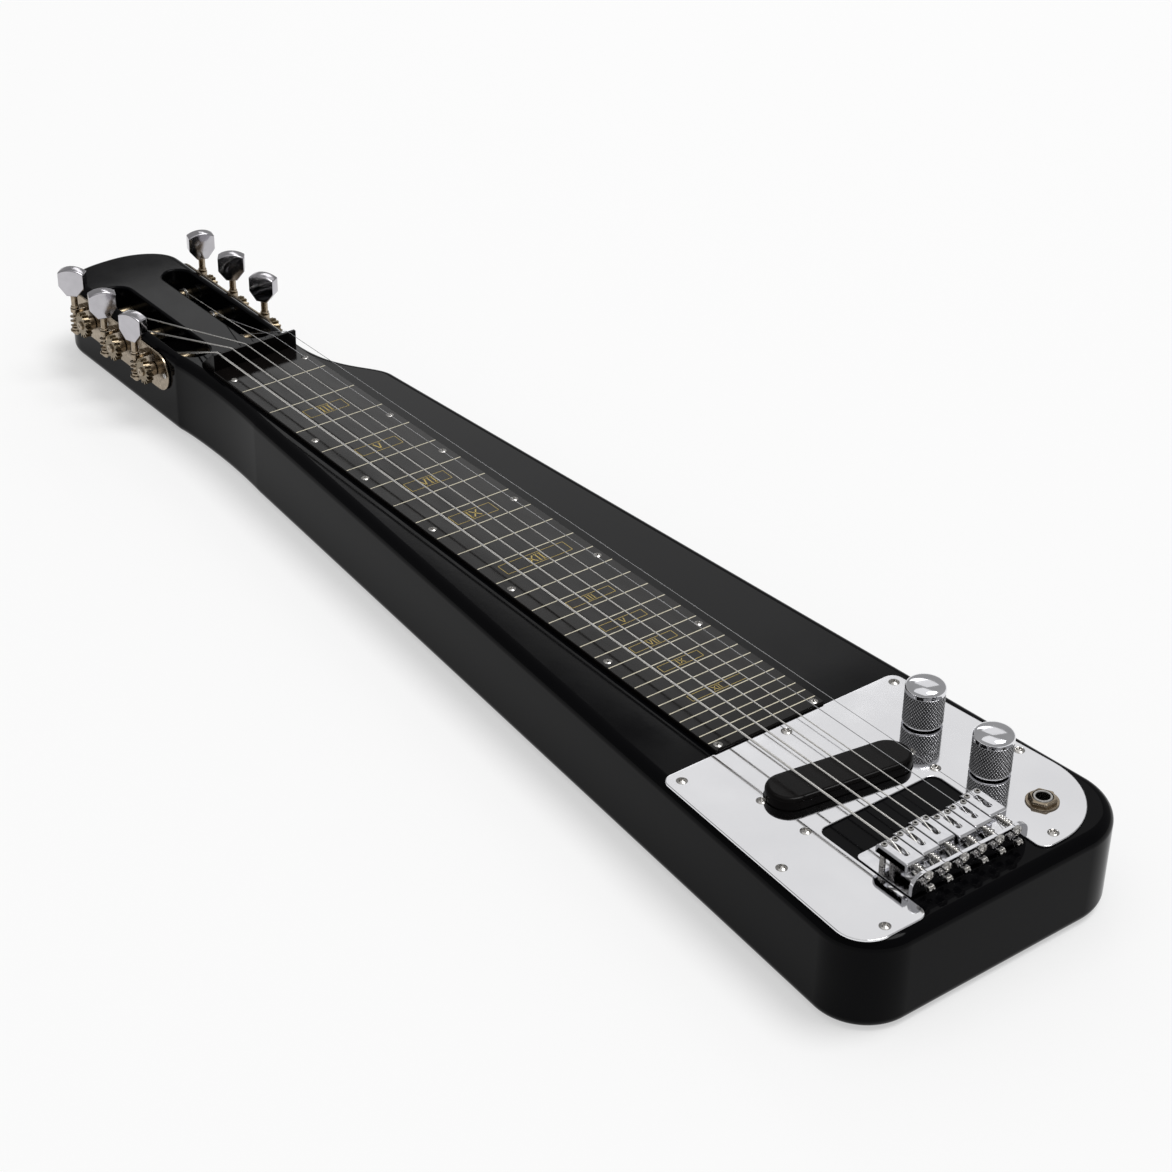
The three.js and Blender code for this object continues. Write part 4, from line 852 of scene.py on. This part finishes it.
# Length screw: a threaded rod along X, with a domed cross head behind the lip
def makeLengthScrew(s, number):
    y = bridgeY(number)
    start, headX = s["saddleXs"][number] + s["tail"] - s["screwReach"], s["rearX"] + fit
    thread = threadedRod(s["screwRadius"], start, headX + 0.5, s["threadPitch"], s["lengthThread"])
    headEnd = headX + s["headLength"] - s["headDome"]
    parts = joined([moved(thread, 0, y, s["screwZ"], "x"),
                    moved(screwHead(*s["screw"]), headEnd, y, s["screwZ"], "x")])
    makePiece(f"length_screw_threaded_{number + 1}", *parts, screwSteel, "steel",
              stands=(f"length_screw_{number + 1}",))


# Spring: (x, y + r cos a, z + r sin a) with x growing evenly with a, and a short stub at each end
def makeSpring(s, number):
    gap, stub = fit + s["wire"], 2 * s["wire"]
    radius, start = s["screwRadius"] + gap, s["saddleXs"][number] + s["tail"] + gap
    finish = s["lipFrontX"] - gap
    curls = int((finish - start) / s["curlPitch"])
    angle = np.linspace(0, fullTurn * curls, curls * s["curlSteps"] + 1)
    route = np.stack([start + (finish - start) * angle / angle[-1],
                      bridgeY(number) + radius * np.cos(angle), s["screwZ"] + radius * np.sin(angle)], 1)
    route = np.concatenate([route[:1] - (0, 0, stub), route, route[-1:] + (0, 0, stub)])
    points, faces, _ = carried(route, s["wire"], 8, (1, 0, 0))
    makePiece(f"spring_coil_{number + 1}", points, faces, screwSteel, "steel",
              stands=(f"spring_{number + 1}",))


bevelledCopy("bridge_sheet", "bridge_plate", chromePart, 0.25)
for number in range(6):
    makeSaddle(bridgeSettings, number)
    makeLengthScrew(bridgeSettings, number)
    makeSpring(bridgeSettings, number)
print("bridge made")


stringSettings = {
    "gauges": [0.33, 0.43, 0.61, 0.81, 0.97, 1.17], "plain": 2, "nutCentreY": 0.45, "nutPitch": 9.58,
    "nutZ": 61.8, "nutTop": 62.3, "nutTopDepth": 2, "nutFall": 13 / 11.3,
    "landings": [21.5, 22.5, 24.5], "turns": 2.5, "turnSteps": 40, "gap": 0.5, "end": 2.5,
    "lipBend": 1, "soften": 0.8,
}


# Ball end, lip, saddle, nut, then a helix round the post: (x + r cos a, y + pitch a, z + r sin a)
def makeString(s, b, number):
    radius, side, y = s["gauges"][number] / 2, sideOf(number), bridgeY(number)
    coil = tunerSettings["postRadius"] + fit + radius
    nutX = -s["nutTopDepth"] - (s["nutTop"] - (s["nutZ"] - radius - fit)) * s["nutFall"]
    nutY = s["nutCentreY"] + (2.5 - number) * s["nutPitch"]
    reachX, reachZ = nutX - postX(number), s["nutZ"] - tunerSettings["rise"]
    landing = math.atan2(reachZ, reachX) + math.acos(coil / math.hypot(reachX, reachZ))
    angle = landing + np.linspace(0, fullTurn * s["turns"], int(s["turns"] * s["turnSteps"]) + 1)
    pitch = 2 * radius + s["gap"]
    winding = np.stack([postX(number) + coil * np.cos(angle),
                        side * (s["landings"][orderOf(number)] + pitch * (angle - landing) / fullTurn),
                        tunerSettings["rise"] + coil * np.sin(angle)], 1)
    away = np.array([-math.sin(angle[-1]), 0, math.cos(angle[-1])])
    corners = [(b["ballX"], y, b["holeZ"]), (b["lipFrontX"] - s["lipBend"], y, b["holeZ"]),
               (b["saddleXs"][number] + b["slotStart"], y, b["top"] + fit + radius),
               (nutX, nutY, s["nutZ"]), winding[0]]
    route = np.concatenate([softened(corners, s["soften"])[:-1], winding, winding[-1:] + s["end"] * away])
    points, faces, along = carried(route, radius, 12)
    makePiece(f"string_wire_{number + 1}", points, faces, plainWire if number < s["plain"] else nickelWrap,
              "steel", stands=(f"string_{number + 1}",), along=along)
    r, half, edge = b["ballRadius"], b["ballLength"] / 2, b["ballEdge"]
    wide, narrow, deep = b["ballGroove"]
    lower = [(0, -half), (r - edge, -half), (r, edge - half), (r, -wide), (r - deep, -narrow)]
    ball = turned(lower + [(reach, -height) for reach, height in lower[::-1]], 24)
    makePiece(f"ball_end_{number + 1}", *moved(ball, b["ballX"], y, b["holeZ"], "y"), screwSteel, "steel")


for number in range(6):
    makeString(stringSettings, bridgeSettings, number)
print("strings made")


# Button: an outline of straight sides, slanted cheeks and an arched top, stacked through the thickness
def buttonShape(s):
    half, height, neck = s["buttonWidth"] / 2, s["buttonHeight"], s["buttonNeck"] / 2
    shoulder, edge = s["buttonShoulder"], height - s["buttonCrown"]
    foot, cheek, brow, crown = s["buttonRounds"]
    outline = cornered([(-neck, 0, foot), (neck, 0, foot), (half, shoulder, cheek), (half, edge, brow),
                        (0, height + s["buttonCrown"] - s["peakDrop"], crown), (-half, edge, brow),
                        (-half, shoulder, cheek)], 8)
    thick, rim = s["buttonThick"] / 2, s["buttonEdge"]
    return stoodUp(stacked(outline, roundedRows(-thick, thick, rim, rim, 4)))


# Worm: radius grows from the shaft to the tip where the angle matches one turn for each lead of height.
# Its root and flank are shares of a turn, and the thread fades out past both ends.
def wormShape(s):
    lead = fullTurn * s["gearRadius"] / s["teeth"]
    half, fadeOut = s["wormTurns"] / 2, s["wormFade"]
    end = half + s["wormRunout"]
    turn, angle = np.linspace(-end, end, s["wormRows"])[:, None], anglesRound(40)
    off = abs((angle / fullTurn - turn + 0.5) % 1 - 0.5)
    fade = np.clip((half + fadeOut - abs(turn)) / fadeOut, 0, 1)
    thread = np.clip((s["threadRoot"] - off) / s["threadFlank"], 0, 1) * fade
    radius = s["shaftRadius"] + (s["wormTip"] - s["shaftRadius"]) * thread
    return shutSkin(polar(radius, angle, lead * turn + s["rise"]))


# Key: the button, and a turned shaft with its worm, a collar outside each ear and a stem into the button
def makeKey(s, number):
    x, y, body = keyX(number), sideOf(number) * s["axisY"], f"key_{number + 1}"
    button = moved(spun(buttonShape(s), s["keyAngles"][number]), x, y, s["buttonLow"])
    # The buttons' greyer chrome is a painted darkening that stands in for the dark body they mirror
    makePiece(f"key_button_{number + 1}", *button, chromeButton, "chrome", body,
              (f"tuner_key_{number + 1}",), sharp=50)
    r, c, stem, thick = s["shaftRadius"], s["collarRadius"], s["stemRadius"], s["collarHeight"]
    reach, edge, seat = s["earGap"] / 2 + s["earThick"] + fit, s["keyEdge"], s["buttonLow"]
    low, high, top = s["rise"] - reach - thick, s["rise"] + reach, seat + s["stemRise"]
    profile = [(0, low - 1), (r - 0.3, low - 1), (r, low - 0.7), (r, low),
               *chamfered(c, low, low + thick, edge, edge), (r, low + thick), (r, high),
               *chamfered(c, high, high + thick, edge, edge), (stem, high + thick), (stem, seat - 1.6),
               (stem + 0.3, seat - 0.9), (stem + 0.3, top), (0, top)]
    shaft = joined([turned(profile, 32), wormShape(s)])
    makePiece(f"key_worm_{number + 1}", *moved(shaft, x, y), warmNickel, "nickel", body)


# Post: a rod turned across the head, chamfered at its inner end, with a neck that carries the wheel
def makePost(s, number):
    shoulder, neckEnd = s["faceY"] + fit, s["axisY"] + s["gearWidth"] / 2 - fit
    inner, radius, neck, edge = s["postInner"], s["postRadius"], s["neckRadius"], s["postEdge"]
    profile = [(0, inner), (radius - edge, inner), (radius, inner + edge), (radius, shoulder),
               (neck, shoulder), (neck, neckEnd), (0, neckEnd)]
    # The posts take the dark brass finish so that they read dark inside the slots: painted shade for the
    # slots' shadow
    makePiece(f"post_{number + 1}_turned", *acrossHead(turned(profile, 32), number), darkBrass, "brass",
              f"post_{number + 1}", (f"string_post_{number + 1}",))


# Wheel: trapezoid teeth round a ring, each slice turned on by the worm's lead angle, rims chamfered
def makeGear(s, number):
    axisY, half, step, edge = s["axisY"], s["gearWidth"] / 2, fullTurn / s["teeth"], s["rimEdge"]
    turns = np.array(s["toothTurns"])[None, :] * step
    root, tip = s["gearRoot"], s["gearTip"]
    flank, valley = (root + tip) / 2, root - s["valleyDrop"]
    reach = np.array([root, flank, tip, tip, flank, root, valley, valley])
    centre = math.pi + (np.arange(s["teeth"])[:, None] + 0.5) * step
    twist = 1 / (s["teeth"] * s["wormRadius"])
    rings = []
    for offset, drop in ((-half, edge), (edge - half, 0), (0, 0), (half - edge, 0), (half, edge)):
        angle = (centre + turns - offset * twist).ravel()
        radius = np.tile(np.minimum(reach, tip - drop), s["teeth"])
        rings.append(polar(radius, angle, offset)[:, [0, 2, 1]])
    rim = np.arange(len(rings[0]))
    faces = [gridFaces(len(rings), len(rim)), rim[::-1], (len(rings) - 1) * len(rim) + rim]
    wheel = (np.concatenate(rings) + (postX(number), sideOf(number) * axisY, s["rise"]), faces)
    inner, outer, hole = s["faceY"] + 2 * fit, axisY + half, s["neckRadius"] + fit
    hub = turned([(hole, inner), (s["hubRadius"], inner), (s["hubRadius"], axisY), (hole, axisY)], 32,
                 closed=True)
    r, capTop, (edgeIn, edgeDown) = s["capRadius"], outer + s["capHeight"], s["capEdge"]
    (floor, mouth, rise), seat = s["capDip"], outer - 0.5
    dip = outer + rise
    cap = turned([(0, seat), (r, seat), (r, dip), (r - edgeIn, capTop - edgeDown), (mouth, capTop),
                  (floor, dip), (0, dip)], 32)
    body = f"post_{number + 1}"
    makePiece(f"gear_wheel_{number + 1}", *wheel, darkBrass, "brass", body, (f"tuner_gear_{number + 1}",))
    makePiece(f"gear_cap_{number + 1}", *acrossHead(joined([hub, cap]), number), warmNickel, "nickel", body)


# Plate from the CAD with its edges broken, a wide foot round each worm's lower end, and its wood screws
def makeTunerPlate(s, side, name):
    bevelledCopy(f"tuner_strip_{name}", f"tuner_plate_{name}", warmNickel, 0.3)
    numbers = [number for number in range(6) if sideOf(number) == side]
    low = s["rise"] - s["earGap"] / 2 - s["earThick"]
    bore, top = s["shaftRadius"] + fit, low + s["footHeight"]
    rim = chamfered(s["footRadius"], low, top, *s["footEdges"])
    foot = turned([(bore, low), *rim, (bore, top)], 40, closed=True)
    feet = [moved(foot, keyX(number), side * s["axisY"]) for number in numbers]
    makePiece(f"tuner_feet_{name}", *joined(feet), warmNickel, "nickel")
    nearX, outY = s["middleX"] + s["pitch"], s["faceY"] + s["screwGap"]
    points, faces = joined([
        moved(spun(screwHead(*s["screw"]), 0.8 * number), nearX + along, outY, s["rise"] + up, "y")
        for number, (along, up) in enumerate(s["screws"])])
    makePiece(f"tuner_strip_screws_{name}", points * (1, side, 1), faces, screwSteel, "steel")


for number in range(6):
    makeKey(tunerSettings, number)
    makePost(tunerSettings, number)
    makeGear(tunerSettings, number)
makeTunerPlate(tunerSettings, -1, "bass")
makeTunerPlate(tunerSettings, 1, "treble")
print("tuners made")

# Pieces hidden inside keep their CAD shape and only get their finish
insideFinishes = {"pickup_coil": coilWire, "pickup_base": dullSteel, "pot_volume": dullSteel,
                  "pot_tone": dullSteel}
for name, finish in insideFinishes.items():
    for place in nodes[name].material_slots:
        place.material = finish


# Soft studio: a low even room, a wide sun from the treble side for the shadow, a long panel that the
# board mirrors, a weaker one that the control plate mirrors, and one straight above
studioSettings = {
    "floorHalf": 6, "floor": "#f8f8f8", "floorGlow": 0.5, "room": 0.35,
    "sun": (1.5, 28, (0.15, 0.3, 0.94)),
    "panels": ((1.85, 1.82, 0.62, (-2.09, 1.68, 1.6)), (0.55, 0.8, 0.95, (-0.78, 1.55, 1.6)),
               (0.6, 3, 2.8, (0.55, 0, 2.6))),
    "camera": (1.21397, -0.70704, 0.78155), "turn": (57.5462, -1.0401, 52.3028), "lens": 81.063,
    "sensor": 36,
}


def addLamp(name, kind, place, turn=(0, 0, 0)):
    lamp = bpy.data.lights.new(name, kind)
    addObject(name, lamp, place, turn)
    return lamp


# Floor: white mixed into matt paint for camera, mirror and glass rays, so that it reads as white paper
# and keeps the shadow, and matt paint alone for all other rays
def makeFloor(s):
    half = s["floorHalf"]
    mesh = bpy.data.meshes.new("floor")
    corners = [(-half, -half, 0), (half, -half, 0), (half, half, 0), (-half, half, 0)]
    mesh.from_pydata(corners, [], [(0, 1, 2, 3)])
    floor = addObject("floor", mesh)
    material, tree, shader, _ = newFinish("paintedFloor", {
        "Base Color": linear(s["floor"]), "Roughness": 0.9, "Specular IOR Level": 0.0})
    glow = addNode(tree, "ShaderNodeEmission", values={"Strength": 1.0})
    path = addNode(tree, "ShaderNodeLightPath")
    seen = path.outputs["Is Camera Ray"]
    for other in ("Is Glossy Ray", "Is Transmission Ray"):
        total = addNode(tree, "ShaderNodeMath", {"operation": "ADD", "use_clamp": True},
                        links={0: seen, 1: path.outputs[other]})
        seen = total.outputs["Value"]
    share = addNode(tree, "ShaderNodeMath", {"operation": "MULTIPLY"}, {1: s["floorGlow"]}, {0: seen})
    blend = addNode(tree, "ShaderNodeMixShader", links={
        "Fac": share.outputs["Value"], 1: shader.outputs["BSDF"], 2: glow.outputs["Emission"]})
    output = [node for node in tree.nodes if node.type == "OUTPUT_MATERIAL"][0]
    tree.links.new(blend.outputs["Shader"], output.inputs["Surface"])
    mesh.materials.append(material)


def makeStudio(s):
    makeFloor(s)
    world = bpy.data.worlds.new("studio")
    bpy.context.scene.world = world
    world.use_nodes = True
    background = world.node_tree.nodes["Background"]
    background.inputs["Color"].default_value = (1, 1, 1, 1)
    background.inputs["Strength"].default_value = s["room"]
    strength, spread, way = s["sun"]
    tilt, bearing = math.acos(way[2] / np.linalg.norm(way)), math.atan2(way[1], way[0])
    sun = addLamp("softSun", "SUN", (0, 0, 3), (0, tilt, bearing))
    sun.energy, sun.angle = strength, math.radians(spread)
    for number, (radiance, length, width, place) in enumerate(s["panels"]):
        panel = addLamp(f"panel_{number + 1}", "AREA", place)
        panel.shape, panel.size, panel.size_y = "RECTANGLE", length, width
        panel.energy = radiance * math.pi * length * width
    camera = bpy.data.cameras.new("camera")
    camera.lens, camera.sensor_width = s["lens"], s["sensor"]
    turn = [math.radians(angle) for angle in s["turn"]]
    bpy.context.scene.camera = addObject("camera", camera, s["camera"], turn)
    bpy.context.scene.view_settings.view_transform = "Standard"


makeStudio(studioSettings)
print("studio made")
